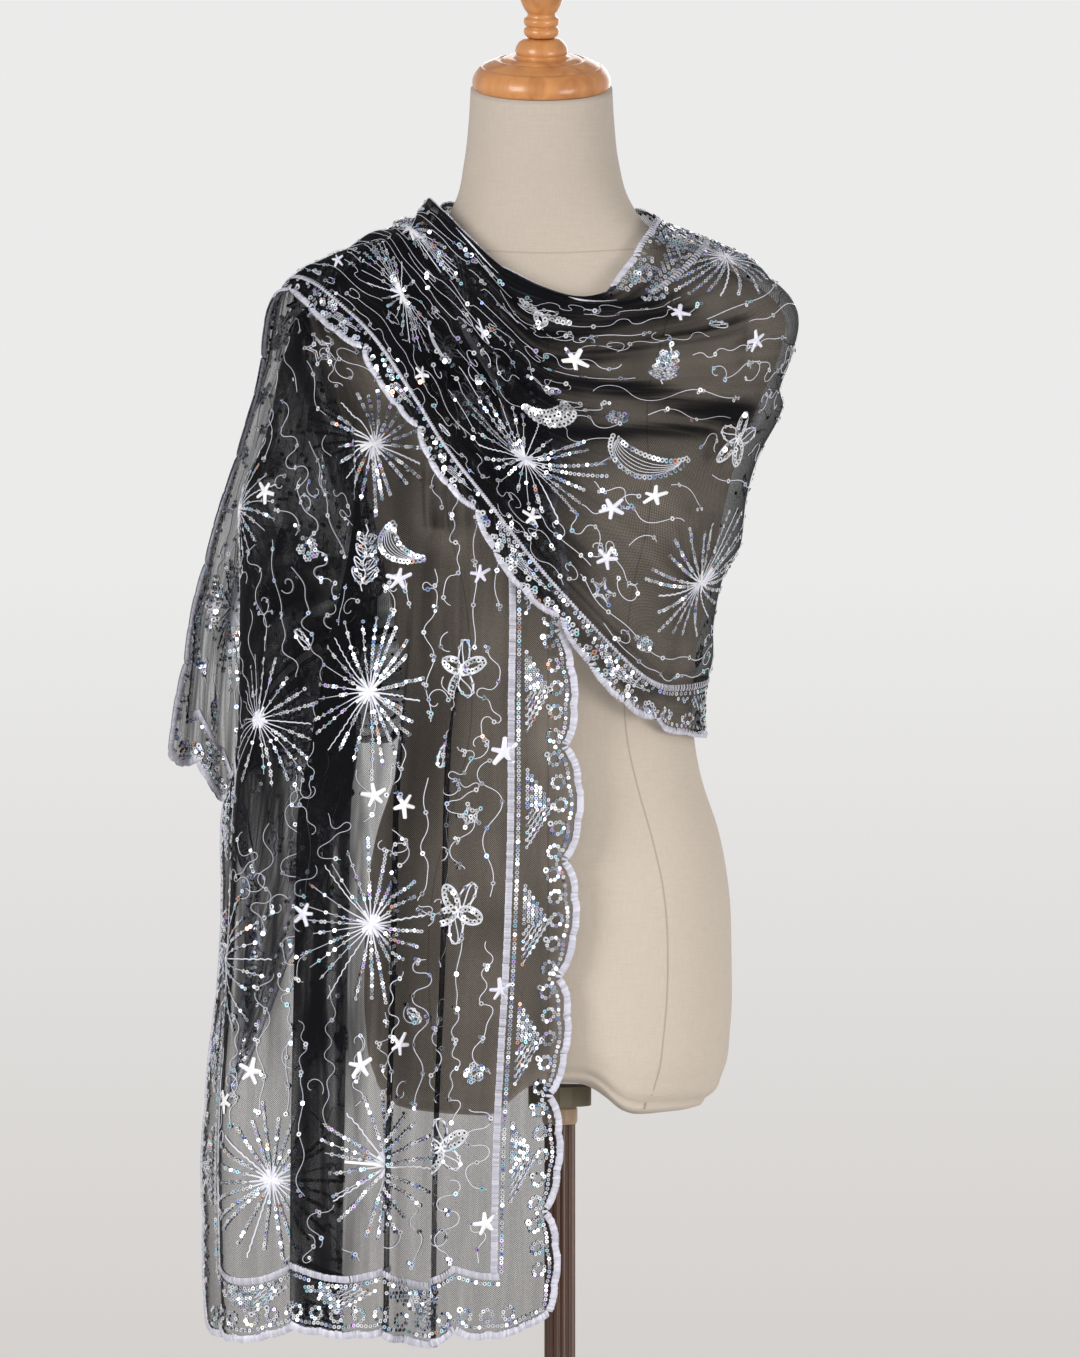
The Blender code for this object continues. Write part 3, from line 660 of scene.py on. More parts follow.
def scallop(x, pitch):
    """How far the edge is drawn in: deep between scallops, and a little between their three lobes."""
    lobes = LOBE_DEPTH * (1.0 - np.abs(np.sin(3 * math.pi * x / pitch)) ** 0.8)
    return (SCALLOP_DEPTH - LOBE_DEPTH) * (1.0 - np.abs(np.sin(math.pi * x / pitch)) ** 0.7) + lobes


def scallop_two(x, pitch):
    """Edge two is bunched on the diagonal, so its scallops are drawn in further there."""
    return scallop(x, pitch) * (1.0 + 1.1 * fade(x, *DIAGONAL))


NET_ROWS, NET_COLUMN, EDGE_REACH = 383, 4.0, 70.0
columns = set(np.arange(0.0, STOLE_WIDTH + 1.0, NET_COLUMN))
for start, wide, *_ in PLEATS:
    columns.update(np.arange(start - 6.0, start + 3.2 * wide + 8.0, 2.0))
columns = np.array(sorted(columns))
rows = np.linspace(0.0, STOLE_LENGTH, NET_ROWS)
along, across = np.meshgrid(rows, columns, indexing="ij")
end = scallop(across, PITCH_END)
near_one, near_two, near_a, near_b = (
    1.0 - ease(far / EDGE_REACH) for far in (across, STOLE_WIDTH - across, along, STOLE_LENGTH - along)
)
flat_u = across + scallop(along, PITCH_LONG) * near_one - scallop_two(along, PITCH_LONG) * near_two
flat_v = along + end * (near_a - near_b)
points = on_net(flat_u, flat_v).reshape(-1, 3)
faces = grid_faces(len(rows), len(columns))
gathered = bunching(flat_u, flat_v).reshape(-1, 1) * np.ones((1, 3))
stole = mesh_object("stole_net", points, faces, net, tints=gathered,
                    flat=np.stack([flat_u.ravel(), flat_v.ravel()], axis=1))
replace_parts(stole, "stole_front_panel", "stole_back", "stole_cross_panel", "stole_thrown_end")
print("net faces:", len(faces))

# %% [markdown]
# ## The worked edge
#
# A maker oversews the scalloped edge with satin stitch, and sews a second, straight satin line
# 50 mm inside it. Both are rows of single raised stitches here, so light catches each one.
# On the two short ends the inner line follows the scallops in shallow arcs.


# %% Sides of the strip
def side_point(side_name, deep, s):
    """A flat point at a distance in from one side of the strip and a place along that side."""
    deep, s = np.broadcast_arrays(np.asarray(deep, float), np.asarray(s, float))
    if side_name == "one":
        return np.stack([deep, s], axis=-1)
    if side_name == "two":
        return np.stack([STOLE_WIDTH - deep, s], axis=-1)
    if side_name == "a":
        return np.stack([s, deep], axis=-1)
    return np.stack([s, STOLE_LENGTH - deep], axis=-1)


SIDES = (
    ("one", STOLE_LENGTH, PITCH_LONG, scallop),
    ("two", STOLE_LENGTH, PITCH_LONG, scallop_two),
    ("a", STOLE_WIDTH, PITCH_END, scallop),
    ("b", STOLE_WIDTH, PITCH_END, scallop),
)
FRONT_TO, THROWN_FROM = 660.0, 1450.0
STITCH_POINTS = 9


def hangs_free(along):
    """True on the two ends, which hang clear of the form and show their inner face as well."""
    return (along < FRONT_TO) | (along > THROWN_FROM)


def rolled_under(points):
    """True where the neckline edge rolls inwards, so its stitches show on the inner face."""
    return (points[:, 0] < 58.0) & (points[:, 1] > 1125.0) & (points[:, 1] < 1300.0)


def ladder_depth(side_name, s):
    """How far the ladder lies from its side: in arcs on the ends, straight on the long sides."""
    arc = 12.0 * np.abs(np.sin(math.pi * s / PITCH_END)) - 5.0 if side_name in ("a", "b") else 0.0 * s
    return LADDER_IN + 3.0 - arc


# %% Raised stitches
def stitches(start, end, thick, up, dome, face=1.0):
    """Many short raised stitches at once, from flat points start to flat points end.

    Each keeps its own length and thickness where the net is bunched or stretched."""
    start, end = np.asarray(start, float), np.asarray(end, float)
    long = np.linalg.norm(end - start, axis=1)
    shown = np.linalg.norm(on_net(end[:, 0], end[:, 1]) - on_net(start[:, 0], start[:, 1]), axis=1)
    reach = (end - start) * np.clip(long / np.maximum(shown, 0.1), 0.6, 2.2)[:, None]
    rails = []
    for share, high in ((0.0, 0.15), (0.5, 1.0), (1.0, 0.15)):
        at = start + reach * share
        rails.append(on_net(at[:, 0], at[:, 1], (up + dome * high) * face))
    at = start + reach / 2
    n = look_up(out_at, at[:, 0], at[:, 1]) * face
    aside = beside_way(n, rails[2] - rails[0]) * thick / 2
    p = np.stack([q + move for q in rails for move in (-aside, n * 0.35, aside)], axis=1)
    f = (np.arange(len(start))[:, None, None] * STITCH_POINTS + grid_faces(3, 3)[None]).reshape(-1, 4)
    return p.reshape(-1, 3), f


def both_faces(start, end, thick, up, dome):
    """Stitches on the outer face. The ends that hang free get them on both faces."""
    under = rolled_under(start)
    blocks = [(~under, 1.0), (under, -1.0), (hangs_free(start[:, 1]), -1.0)]
    return [stitches(start[k], end[k], thick, up, dome, face) for k, face in blocks if k.any()]


# %% Edge and ladder
EDGE_STEP, EDGE_WIDE, EDGE_THICK, EDGE_DOME = 1.5, (4.3, 5.2), 2.0, 1.2
RUNG_STEP, RUNG_HALF, RUNG_THICK, RUNG_DOME = 2.0, 2.5, 2.1, 0.9
# The edge and ladder satin is darkened below its own colour: painted shade.
STITCH_UP, EDGE_PAINTED_SHADE, RUNG_PAINTED_SHADE = 0.5, 0.78, 0.68
edge_parts, ladder_parts = [], []
for name, length, pitch, shape in SIDES:
    s = np.arange(9.0, length - 9.0, EDGE_STEP)
    deep = shape(s, pitch)
    slope = (shape(s + 1.5, pitch) - shape(s - 1.5, pitch)) / 3.0
    slope = np.clip(slope, -1.1, 1.1)
    lean = 1.0 / np.sqrt(1.0 + slope ** 2)
    wide = rng.uniform(*EDGE_WIDE, len(s))
    start = side_point(name, deep - 0.6 * lean, s + 0.6 * slope * lean) + rng.normal(0, 0.12, (len(s), 2))
    end = side_point(name, deep + wide * lean, s - wide * slope * lean)
    edge_parts += both_faces(start, end, EDGE_THICK, STITCH_UP, EDGE_DOME)
    s = np.arange(LADDER_IN, length - LADDER_IN + 1.0, RUNG_STEP)
    deep = ladder_depth(name, s)
    half = RUNG_HALF - 1.1 * fade(s, *DIAGONAL) * (name == "two")
    shift = rng.normal(0, 0.12, (len(s), 2))
    start = side_point(name, deep - half, s - 0.4) + shift
    end = side_point(name, deep + half, s + 0.4) + shift
    ladder_parts += both_faces(start, end, RUNG_THICK, STITCH_UP, RUNG_DOME)
for name, parts, light in (
    ("satin_edging", edge_parts, EDGE_PAINTED_SHADE), ("satin_ladder", ladder_parts, RUNG_PAINTED_SHADE),
):
    count = sum(len(p) for p, _ in parts) // STITCH_POINTS
    joined(name, parts, satin, floss_tints(count, STITCH_POINTS, light))
    print(name, "stitches:", count)

# %% [markdown]
# ## What is worked on the net
#
# Large bursts stand in two columns along the strip, with flowers, stars, crescents and leaves
# between them. Each kind is a function that adds its stitches, threads and sequins to shared
# lists. Most motifs have places of their own. The thrown end repeats one group.

# %% Lists that gather the work
bars, stars, threads, sequins, keep_out = [], [], [], [], []


def sequin_line(path_u, path_v, radius):
    for u, v in zip(path_u, path_v):
        sequins.append((u, v, radius))


def stretch_at(u, v):
    """How much longer 1 mm of net is where it is worn, across and along."""
    return [np.linalg.norm(look_up(t, u, v)) / step for t, step in ((to_u, U_STEP), (to_v, V_STEP))]


def turned_by(turn, u, v, x, y):
    """Points of a motif, turned and moved to its flat place, and closer where the net is stretched."""
    x, y = np.asarray(x, float), np.asarray(y, float)
    wide, long = np.clip(stretch_at(u, v), 1.0, 2.2)
    c, s = math.cos(turn), math.sin(turn)
    return u + (x * c - y * s) / wide, v + (x * s + y * c) / long


def thread_line(turn, u, v, x, y, width):
    threads.append((np.stack(turned_by(turn, u, v, x, y), axis=1), width))


# %% Stars and bursts
RAY_PITCH, RAY_SEQUIN = 2.95, 1.5
STAR_ARMS = 5
STAR_POINTS = 1 + 4 * STAR_ARMS


def star(u, v, size, turn):
    """A raised satin star: a ridge along each arm, a blunt tip and a valley between arms."""
    flat, high = [(u, v)], [2.2]
    half = math.pi / STAR_ARMS
    for k in range(STAR_ARMS):
        a = turn + 2 * half * k + rng.normal(0, 0.07)
        r = 0.87 * size * rng.uniform(0.86, 1.14)
        for more, share, up in ((-0.15, 1.0, 0.6), (0.0, 1.05, 1.4), (0.15, 1.0, 0.6), (half, 0.34, 0.6)):
            flat.append((u + r * share * math.cos(a + more), v + r * share * math.sin(a + more)))
            high.append(up)
    faces = []
    for k in range(STAR_ARMS):
        one, two, three, valley = 1 + 4 * k, 2 + 4 * k, 3 + 4 * k, 4 + 4 * k
        before = 4 * STAR_ARMS if k == 0 else 4 * k
        faces.append((0, before, one, two))
        faces.append((0, two, three, valley))
    flat = np.array(flat)
    middle = np.array([u, v], float)
    flat = middle + (flat - middle) / np.clip(stretch_at(u, v), 0.5, 2.0)
    for way in (1.0, -1.0) if hangs_free(v) else (1.0,):
        stars.append((on_net(flat[:, 0], flat[:, 1], np.array(high) * way), np.array(faces)))


def burst(u, v, size, turn):
    """Satin bars in the middle, then rays: a thread that tapers and a chain of sequins."""
    rays = int(rng.integers(23, 27))
    for k in range(7):
        a = turn + math.pi * k / 7 + rng.normal(0, 0.12)
        r = size * rng.uniform(0.10, 0.19)
        x, y = r * math.cos(a), r * math.sin(a)
        bars.append((u - x, v - y, u + x, v + y))
    for k in range(rays):
        a = turn + 2 * math.pi * k / rays + rng.normal(0, 0.04)
        r_end = size * rng.uniform(0.80, 1.06)
        r_turn = size * rng.uniform(0.20, 0.36)
        r = np.linspace(3.0, r_turn + 4.0, 5)
        thread_line(a, u, v, r, 0 * r, np.linspace(1.5, 1.0, 5))
        r = np.arange(r_turn, r_end, RAY_PITCH)
        if k % 9 == 3:
            thread_line(a, u, v, r, 0.5 * np.sin(r), 1.2)
        else:
            thread_line(a, u, v, r[::2], 0 * r[::2], 0.7)
            sequin_line(*turned_by(a, u, v, r, rng.normal(0, 0.15, len(r))), RAY_SEQUIN)


# %% Petals and flowers
def petal(u, v, a, long, wide, filled):
    """Two threads that meet at the tip, with paired sequins or a vein between them."""
    t = np.linspace(0.0, math.pi, 15)
    x = long * (0.5 - 0.5 * np.cos(t))
    for way in (-0.5, 0.5):
        thread_line(a, u, v, x, way * wide * np.sin(t), 1.4)
    if filled:
        for x in np.arange(long * 0.28, long * 0.98, 3.6):
            y = wide * 0.32 * math.sin(math.pi * x / long)
            sequin_line(*turned_by(a, u, v, (x, x + 0.8), (-y, y)), 2.2)
    else:
        thread_line(a, u, v, x[2:-1], 0.18 * wide * np.sin(2 * t[2:-1]), 0.9)
        pick = slice(3, -1, 3)
        for way in (-0.5, 0.5):
            sequin_line(*turned_by(a, u, v, x[pick], way * wide * np.sin(t[pick])), 1.5)


def flower(u, v, size, turn):
    for k in range(5):
        petal(u, v, turn + 2 * math.pi * k / 5, size, size * 0.52, k % 2 == 0)
    star(u, v, size * 0.22, turn)


# %% Crescents, rings and leaves
def crescent(u, v, size, turn, filled=False):
    """Two sequin arcs that meet at the tips, with threads or more sequins between them."""
    for share in np.linspace(0.0, 1.0, 4 if filled else 2):
        half = 1.4 - 0.3 * share
        a = np.arange(-half, half + 0.01, 4.2 / size)
        x = size * (1.0 - 0.45 * share) * np.cos(a) - 0.1 * size * share
        sequin_line(*turned_by(turn, u, v, x, size * 0.97 * np.sin(a)), 2.5 if filled else 2.1)
    if not filled:
        a = np.linspace(-1.2, 1.2, 14)
        for bow in np.linspace(0.60, 0.94, 5):
            thread_line(turn, u, v, size * bow * np.cos(a), size * 0.9 * np.sin(a), 0.5)


def moon(u, v, size, turn):
    crescent(u, v, size, turn, True)


def ring(u, v, size, count, radius):
    a = 2 * math.pi * (np.arange(count) + rng.uniform()) / count
    sequin_line(u + size * np.cos(a), v + size * np.sin(a), radius)


def posy(u, v, size, turn):
    """Five small rosettes in a round."""
    for k in range(5):
        x, y = turned_by(turn + 2 * math.pi * k / 5, u, v, size * 0.62, 0.0)
        ring(x, y, size * 0.24, 6, 1.8)


def outline_star(u, v, size, turn):
    """Two star outlines in thread, with a sequin at each corner of the larger one."""
    corner = np.arange(11)
    a = corner * math.pi / 5
    r = np.where(corner % 2 == 0, size, size * 0.45)
    for grow in (1.0, 0.7):
        thread_line(turn, u, v, grow * r * np.cos(a), grow * r * np.sin(a), 0.9)
    sequin_line(*turned_by(turn, u, v, r[:10] * np.cos(a[:10]), r[:10] * np.sin(a[:10])), 1.8)


def leaf(u, v, size, turn):
    petal(u, v, turn, size, size * 0.42, False)
    ring(*turned_by(turn, u, v, size * 0.5, 0.0), 1.0, 3, 1.5)


def sprig(u, v, size, turn):
    """A stem with four pairs of small leaves and a sequin at its tip."""
    x = np.linspace(-1.0, 1.0, 12) * size
    thread_line(turn, u, v, x, 0.06 * size * np.sin(x), 1.3)
    for k, share in enumerate((-0.75, -0.35, 0.05, 0.45)):
        for way in (-1.0, 1.0):
            base_u, base_v = turned_by(turn, u, v, share * size, 0.0)
            petal(base_u, base_v, turn + way * 0.8, size * (0.62 - 0.08 * k), size * 0.2, False)
    sequin_line(*turned_by(turn, u, v, (size * 1.08,), (0.0,)), 2.1)


# %% Where the motifs go
# Each motif of its own: kind, across, along, size, turn.
PLACED = (
    (burst, 170, 135, 60, 0.1), (burst, 358, 122, 60, 0.0), (burst, 188, 315, 62, 0.1),
    (burst, 420, 290, 60, 0.0), (burst, 194, 488, 66, 0.2), (burst, 192, 662, 58, 0.1),
    (burst, 366, 474, 58, 0.0), (burst, 356, 660, 58, 0.1), (flower, 98, 498, 23, 0.4),
    (flower, 90, 320, 24, 1.0), (flower, 96, 148, 22, 0.2), (crescent, 152, 598, 36, -0.5),
    (moon, 258, 1232, 26, -0.9), (star, 58, 435, 12, 0.3), (star, 188, 410, 10.5, 0.1),
    (star, 148, 402, 10.5, 0.9), (star, 166, 570, 10.5, 0.4), (star, 316, 652, 11.5, 0.0),
    (star, 194, 210, 11, 0.2), (star, 148, 225, 10, 0.8), (star, 60, 88, 10.5, 0.1),
    (star, 376, 205, 11, 0.5), (star, 400, 182, 10.5, 1.0), (star, 56, 258, 9.5, 0.2),
    (star, 240, 325, 10, 0.6), (star, 84, 568, 8.5, 0.3), (star, 438, 420, 10, 0.3),
    (star, 300, 60, 8, 0.0), (outline_star, 222, 742, 15, 0.2), (outline_star, 246, 565, 13, 0.5),
    (outline_star, 82, 390, 9, 0.1), (leaf, 122, 428, 18, 1.9), (leaf, 308, 525, 17, 1.2),
    (leaf, 132, 240, 15, 0.8), (leaf, 420, 120, 16, 1.0), (sprig, 200, 586, 25, 1.6),
    (posy, 290, 600, 11, 0.0), (posy, 432, 370, 10, 0.4), (posy, 300, 230, 10, 0.2),
    (moon, 300, 400, 15, 0.5), (posy, 72, 200, 8, 0.1), (leaf, 88, 640, 15, 1.5),
    (flower, 92, 700, 19, 0.3), (burst, 344, 1052, 62, 0.1), (burst, 344, 1220, 62, 0.0),
    (burst, 338, 1386, 60, 0.1), (burst, 74, 1076, 52, 0.0), (burst, 150, 1330, 54, 0.1),
    (flower, 96, 1215, 21, 0.2), (crescent, 270, 1150, 36, 0.1), (crescent, 318, 1322, 22, 0.4),
    (crescent, 180, 1392, 18, 0.4), (star, 314, 1128, 10.5, 0.2), (star, 336, 1146, 10.5, 0.7),
    (star, 372, 1126, 10, 0.4), (star, 168, 1205, 11, 0.1), (star, 172, 1092, 10, 0.5),
    (star, 400, 1186, 9, 0.0), (star, 232, 1290, 9.5, 0.2), (star, 402, 1330, 9.5, 0.2),
    (star, 112, 1135, 9, 0.3), (outline_star, 400, 1116, 12, 0.3), (flower, 254, 1088, 24, 0.6),
    (posy, 60, 1126, 12, 0.1), (sprig, 184, 1156, 24, 3.4), (leaf, 150, 1112, 17, 2.2),
    (leaf, 222, 1218, 16, 0.8), (leaf, 420, 1280, 15, 1.0), (posy, 24, 1082, 12, 0.0),
    (posy, 26, 1110, 11, 0.4), (posy, 64, 1050, 11, 0.2), (posy, 30, 1052, 11, 0.1),
    (burst, 140, 846, 52, 0.0), (burst, 350, 800, 56, 0.1), (burst, 356, 930, 52, 0.0),
    (burst, 180, 960, 44, 0.0), (flower, 246, 872, 22, 0.3), (flower, 84, 770, 18, 0.1),
    (star, 250, 800, 10, 0.2), (star, 262, 926, 10, 0.6), (star, 84, 912, 9.5, 0.1),
    (star, 412, 866, 10, 0.4), (star, 232, 1010, 9, 0.2), (crescent, 80, 986, 16, 0.2),
    (posy, 426, 958, 10, 0.0), (posy, 210, 786, 9, 0.0), (leaf, 432, 800, 16, 1.5),
    (leaf, 294, 986, 16, 0.5), (posy, 250, 1182, 9, 0.3), (posy, 410, 1075, 9, 0.2),
    (leaf, 300, 1284, 15, 0.2), (posy, 90, 1280, 10, 0.0),
)

# The group that repeats: kind, across from the burst towards the edge, along from the burst, size, turn.
REPEATED = (
    (burst, 0, 0, 60, 0.0), (flower, 67, 17, 22, 0.4), (star, 92, -44, 10.5, 0.3),
    (star, 26, -92, 9.5, 0.1), (star, -12, -80, 10, 0.9), (star, 20, 84, 9.5, 0.5),
    (crescent, 44, 108, 19, 2.9), (posy, 90, 66, 9, 0.0), (leaf, 68, 58, 17, 1.3),
    (leaf, -58, 62, 18, 2.0), (posy, -62, -52, 9, 0.0), (star, -72, 30, 8, 0.0), (leaf, 74, -74, 15, 5.2),
)
REPEAT = 183.5
REPEAT_FROM = 1552.0
WORK_MARGIN = LADDER_IN + 8.0


def clear_of_border(u, v):
    return WORK_MARGIN < u < STOLE_WIDTH - WORK_MARGIN and WORK_MARGIN < v < STOLE_LENGTH - WORK_MARGIN


# %% Work the motifs
work = list(PLACED)
for burst_v in (REPEAT_FROM, REPEAT_FROM + REPEAT):
    for burst_u, way in ((165.0, -1.0), (340.0, 1.0)):
        for kind, du, dv, size, turn in REPEATED:
            u, v = burst_u + way * du + rng.normal(0, 1.5), burst_v + dv + rng.normal(0, 1.5)
            if clear_of_border(u, v):
                work.append((kind, u, v, size, turn + rng.normal(0, 0.2)))
for kind, u, v, size, turn in work:
    kind(u, v, size, turn)
    if kind in (burst, flower, crescent, moon, sprig):
        keep_out.append((u, v, size * 0.86))
print("motifs", len(work), "bars", len(bars), "threads", len(threads), "sequins", len(sequins))

# %% [markdown]
# ## Wandering lines
#
# Thin silver threads meander between the motifs, with a sequin at many of the bends. They could be
# drawn by hand as curves. A walk whose heading swings to and fro gives the same loose line, and
# there are many of them. In places it swings far enough to fold the line back on itself.
# The parts that would cross a burst or a flower are left out.

# %% Wandering thread lines
WALK_STEP, LINE_SPACING, LINE_LENGTH, LINE_WIDTH = 2.0, 21.5, 590.0, 0.58
steps = 480
for base_u in np.arange(67.0, 440.0, LINE_SPACING):
    for first_v in (62.0, 640.0, 1230.0):
        swing = rng.uniform(40.0, 62.0) + 6.0 * np.sin(np.arange(steps) * 0.021 + rng.uniform(0, 6))
        phase = np.cumsum(2 * math.pi * WALK_STEP / swing) + rng.uniform(0, 6.28)
        bend = 0.9 + 0.7 * np.sin(np.arange(steps) * 0.031 + rng.uniform(0, 6))
        quick = np.clip(np.sin(np.arange(steps) * rng.uniform(0.04, 0.06) + rng.uniform(0, 6)), 0.0, 1.0)
        quick = 0.9 * quick * np.sin(np.arange(steps) * 2 * math.pi * WALK_STEP / rng.uniform(19.0, 27.0))
        u = np.empty(steps)
        v = np.empty(steps)
        u[0], v[0] = base_u + rng.normal(0, 4.0), first_v + rng.uniform(-14, 14)
        for k in range(1, steps):
            heading = bend[k] * math.sin(phase[k]) + quick[k] - 0.05 * (u[k - 1] - base_u)
            u[k] = u[k - 1] + WALK_STEP * math.sin(heading)
            v[k] = v[k - 1] + WALK_STEP * math.cos(heading)
        free = (u > WORK_MARGIN - 3) & (u < STOLE_WIDTH - WORK_MARGIN + 3)
        free &= (v > WORK_MARGIN) & (v < STOLE_LENGTH - WORK_MARGIN) & (v < first_v + LINE_LENGTH)
        free &= np.sin(np.arange(steps) * rng.uniform(0.05, 0.09) + rng.uniform(0, 6)) > -0.8
        for cu, cv, r in keep_out:
            free &= (u - cu) ** 2 + (v - cv) ** 2 > r * r
        cuts = np.flatnonzero(np.diff(np.concatenate([[0], free.astype(int), [0]])))
        for a, b in zip(cuts[::2], cuts[1::2]):
            if b - a < 9:
                continue
            threads.append((np.stack([u[a:b], v[a:b]], axis=1), LINE_WIDTH))
            for k in range(a + int(rng.integers(0, 6)), b, int(rng.integers(11, 17))):
                sequins.append((u[k], v[k], 1.9))
                if rng.uniform() < 0.4:
                    sequins.append((u[k] + 2.4, v[k] + 1.2, 1.4))
                    sequins.append((u[k] + 0.6, v[k] - 2.6, 1.4))

# %% Short curls with a sequin at the end, where there is still room
CURLS = 150
curls = 0
while curls < CURLS:
    u = rng.uniform(WORK_MARGIN + 10, STOLE_WIDTH - WORK_MARGIN - 10)
    v = rng.uniform(WORK_MARGIN + 10, STOLE_LENGTH - WORK_MARGIN - 10)
    if all((u - cu) ** 2 + (v - cv) ** 2 > (r + 5) ** 2 for cu, cv, r in keep_out):
        a = np.linspace(0.0, rng.uniform(4.2, 6.4), 18)
        r = rng.uniform(0.9, 1.3) * (2.0 + 1.3 * a)
        thread_line(rng.uniform(0, 6.28), u, v, r * np.cos(a), r * np.sin(a), 0.6)
        sequins.append((*threads[-1][0][-1], 1.9))
        sequins.append((*threads[-1][0][8], 1.7))
        keep_out.append((u, v, 9.0))
        curls += 1
print("thread lines:", len(threads))

# %% [markdown]
# ## The border
#
# Between the ladder and the scalloped edge run a row of sequins, a triangle for each scallop,
# small rosettes and one more sequin line that follows the scallops. All four sides are worked the
# same way, so one loop does them, and a function turns its places to each side.

# %% Border sequins
TRIANGLE_HALF, TRIANGLE_TALL, TRIANGLE_BASE = 29.0, 17.5, 41.5
ROSETTE = 4.5
for name, length, pitch, shape in SIDES:
    s = np.arange(LADDER_IN, length - LADDER_IN, 3.3)
    p = side_point(name, ladder_depth(name, s) - 5.4, s)
    sequin_line(p[:, 0], p[:, 1], 1.6)
    s = np.arange(16.0, length - 16.0, 3.4)
    p = side_point(name, shape(s, pitch) + 8.9, s)
    sequin_line(p[:, 0], p[:, 1], 1.5)
    scallops = int(round(length / pitch))
    for k in range(scallops):
        for share in (0.1, 0.3, 0.5, 0.7, 0.9):
            place = (k + share) * pitch
            if not 28.0 < place < length - 26.0:
                continue
            u, v = side_point(name, 17.4 + 0.7 * shape(place, pitch), place)
            on_diagonal = name == "two" and DIAGONAL[0] < place < DIAGONAL[3]
            ring(u, v, ROSETTE, *((7, 2.05) if on_diagonal else (9, 1.5)))
            if share in (0.3, 0.9):
                sequins.append((*side_point(name, 23.0 + 0.7 * shape(place, pitch), place + 4.0), 2.3))
        middle = (k + 0.5) * pitch
        if not LADDER_IN + 20 < middle < length - LADDER_IN - 20:
            continue
        base = TRIANGLE_BASE if name in ("one", "two") else TRIANGLE_BASE - 2.0
        for j in range(6):
            half = TRIANGLE_HALF * (1.0 - j / 6.0)
            p = side_point(name, base - 3.0 * j, middle - np.arange(-half, 0.5, 3.1))
            sequin_line(p[:, 0], p[:, 1], 1.5)
        sequins.append((*side_point(name, base - TRIANGLE_TALL - 1.0, middle), 2.2))
        for j in range(5):
            base_s = middle - TRIANGLE_HALF + 5.6 * j
            tall = TRIANGLE_TALL * (1.0 - 0.2 * j)
            share = np.linspace(0.0, 1.0, max(int(tall / 2.0), 3))
            p = side_point(name, base - tall * share, base_s + (middle - 1.5 - base_s) * share)
            sequin_line(p[:, 0], p[:, 1], 1.35)
            threads.append((p, 0.7))
print("sequins now:", len(sequins))

# %% [markdown]
# ## Turn the lists into meshes
#
# A sequin is an eight sided disc. It lies on the net with a small tilt of its own, so the foil
# glints unevenly. The hole in its middle is only painted, which halves the number of faces.

# %% Sequins
WHITE_FROM, SEQUIN_SIDES = 2.16, 8
# Foil tints. The two greyer silvers are painted shade, for foil that mirrors the darker parts of the
# room; the blue, cyan, orange and violet ones are the foil's own colours.
SEQUIN_TINTS_AND_SHADES = np.array([
    (0.95, 0.96, 1.0), (0.74, 0.77, 0.84), (0.46, 0.49, 0.56), (0.55, 0.66, 0.90),
    (0.45, 0.80, 0.92), (0.90, 0.45, 0.30), (0.62, 0.45, 0.85), (0.25, 0.35, 0.70),
])
COMMON = (0.42, 0.20, 0.13, 0.11, 0.06, 0.015, 0.035, 0.03)
spots = np.array(sequins)
kept_share = (1.25 / bunching(spots[:, 0], spots[:, 1])) ** 1.2
in_fold = (rng.uniform(size=len(spots)) > kept_share) & (spots[:, 2] < WHITE_FROM)
spots = spots[~in_fold]
face = np.where(rolled_under(spots), -1.0, 1.0)
free = hangs_free(spots[:, 1])
spots = np.concatenate([spots, spots[free]])
face = np.concatenate([face, -face[free]])
count = len(spots)
centre = on_net(spots[:, 0], spots[:, 1], face * (1.0 + rng.uniform(-0.2, 0.35, count)))
n = look_up(out_at, spots[:, 0], spots[:, 1]) + rng.normal(0, 0.21, (count, 3))
n = n / np.linalg.norm(n, axis=1, keepdims=True)
first = look_up(to_u, spots[:, 0], spots[:, 1])
first = first - n * np.sum(first * n, axis=1, keepdims=True)
first = first / np.maximum(np.linalg.norm(first, axis=1, keepdims=True), 1e-6)
second = np.cross(n, first)
angles = 2 * math.pi * np.arange(SEQUIN_SIDES) / SEQUIN_SIDES
rim = first[:, None] * np.cos(angles)[None, :, None] + second[:, None] * np.sin(angles)[None, :, None]
points = (centre[:, None] + rim * spots[:, 2][:, None, None]).reshape(-1, 3)
chosen = rng.choice(len(SEQUIN_TINTS_AND_SHADES), count, p=COMMON)
chosen[spots[:, 2] > WHITE_FROM] = 0
# Each sequin's spread in brightness is painted shade as well.
tints = np.clip(SEQUIN_TINTS_AND_SHADES[chosen] * rng.uniform(0.75, 1.1, (count, 1)), 0, 1)
round_map = np.stack([np.cos(angles), np.sin(angles)], axis=1)
half = count // 2
for name, a, b in (("sequins_one", 0, half), ("sequins_two", half, count)):
    corners = slice(a * SEQUIN_SIDES, b * SEQUIN_SIDES)
    discs = np.arange((b - a) * SEQUIN_SIDES).reshape(-1, SEQUIN_SIDES)
    mesh_object(name, points[corners], discs, foil, False,
                np.repeat(tints[a:b], SEQUIN_SIDES, axis=0), np.tile(round_map, (b - a, 1)))
print("sequins", count)

# %% Threads, satin bars and stars
THREAD_UP, THREAD_DOME = 0.7, 0.25
thread_parts = [ribbon(path, width, THREAD_UP, THREAD_DOME) for path, width in threads]
seen_inside = [line for line in threads if hangs_free(line[0][:, 1].mean())]
thread_parts += [ribbon(path, width, -THREAD_UP, -THREAD_DOME) for path, width in seen_inside]
joined("silver_threads", thread_parts, silver_thread)
b = np.array(bars)
bar_parts = [stitches(b[:, 0:2], b[:, 2:4], 2.1, 0.9, 0.9)]
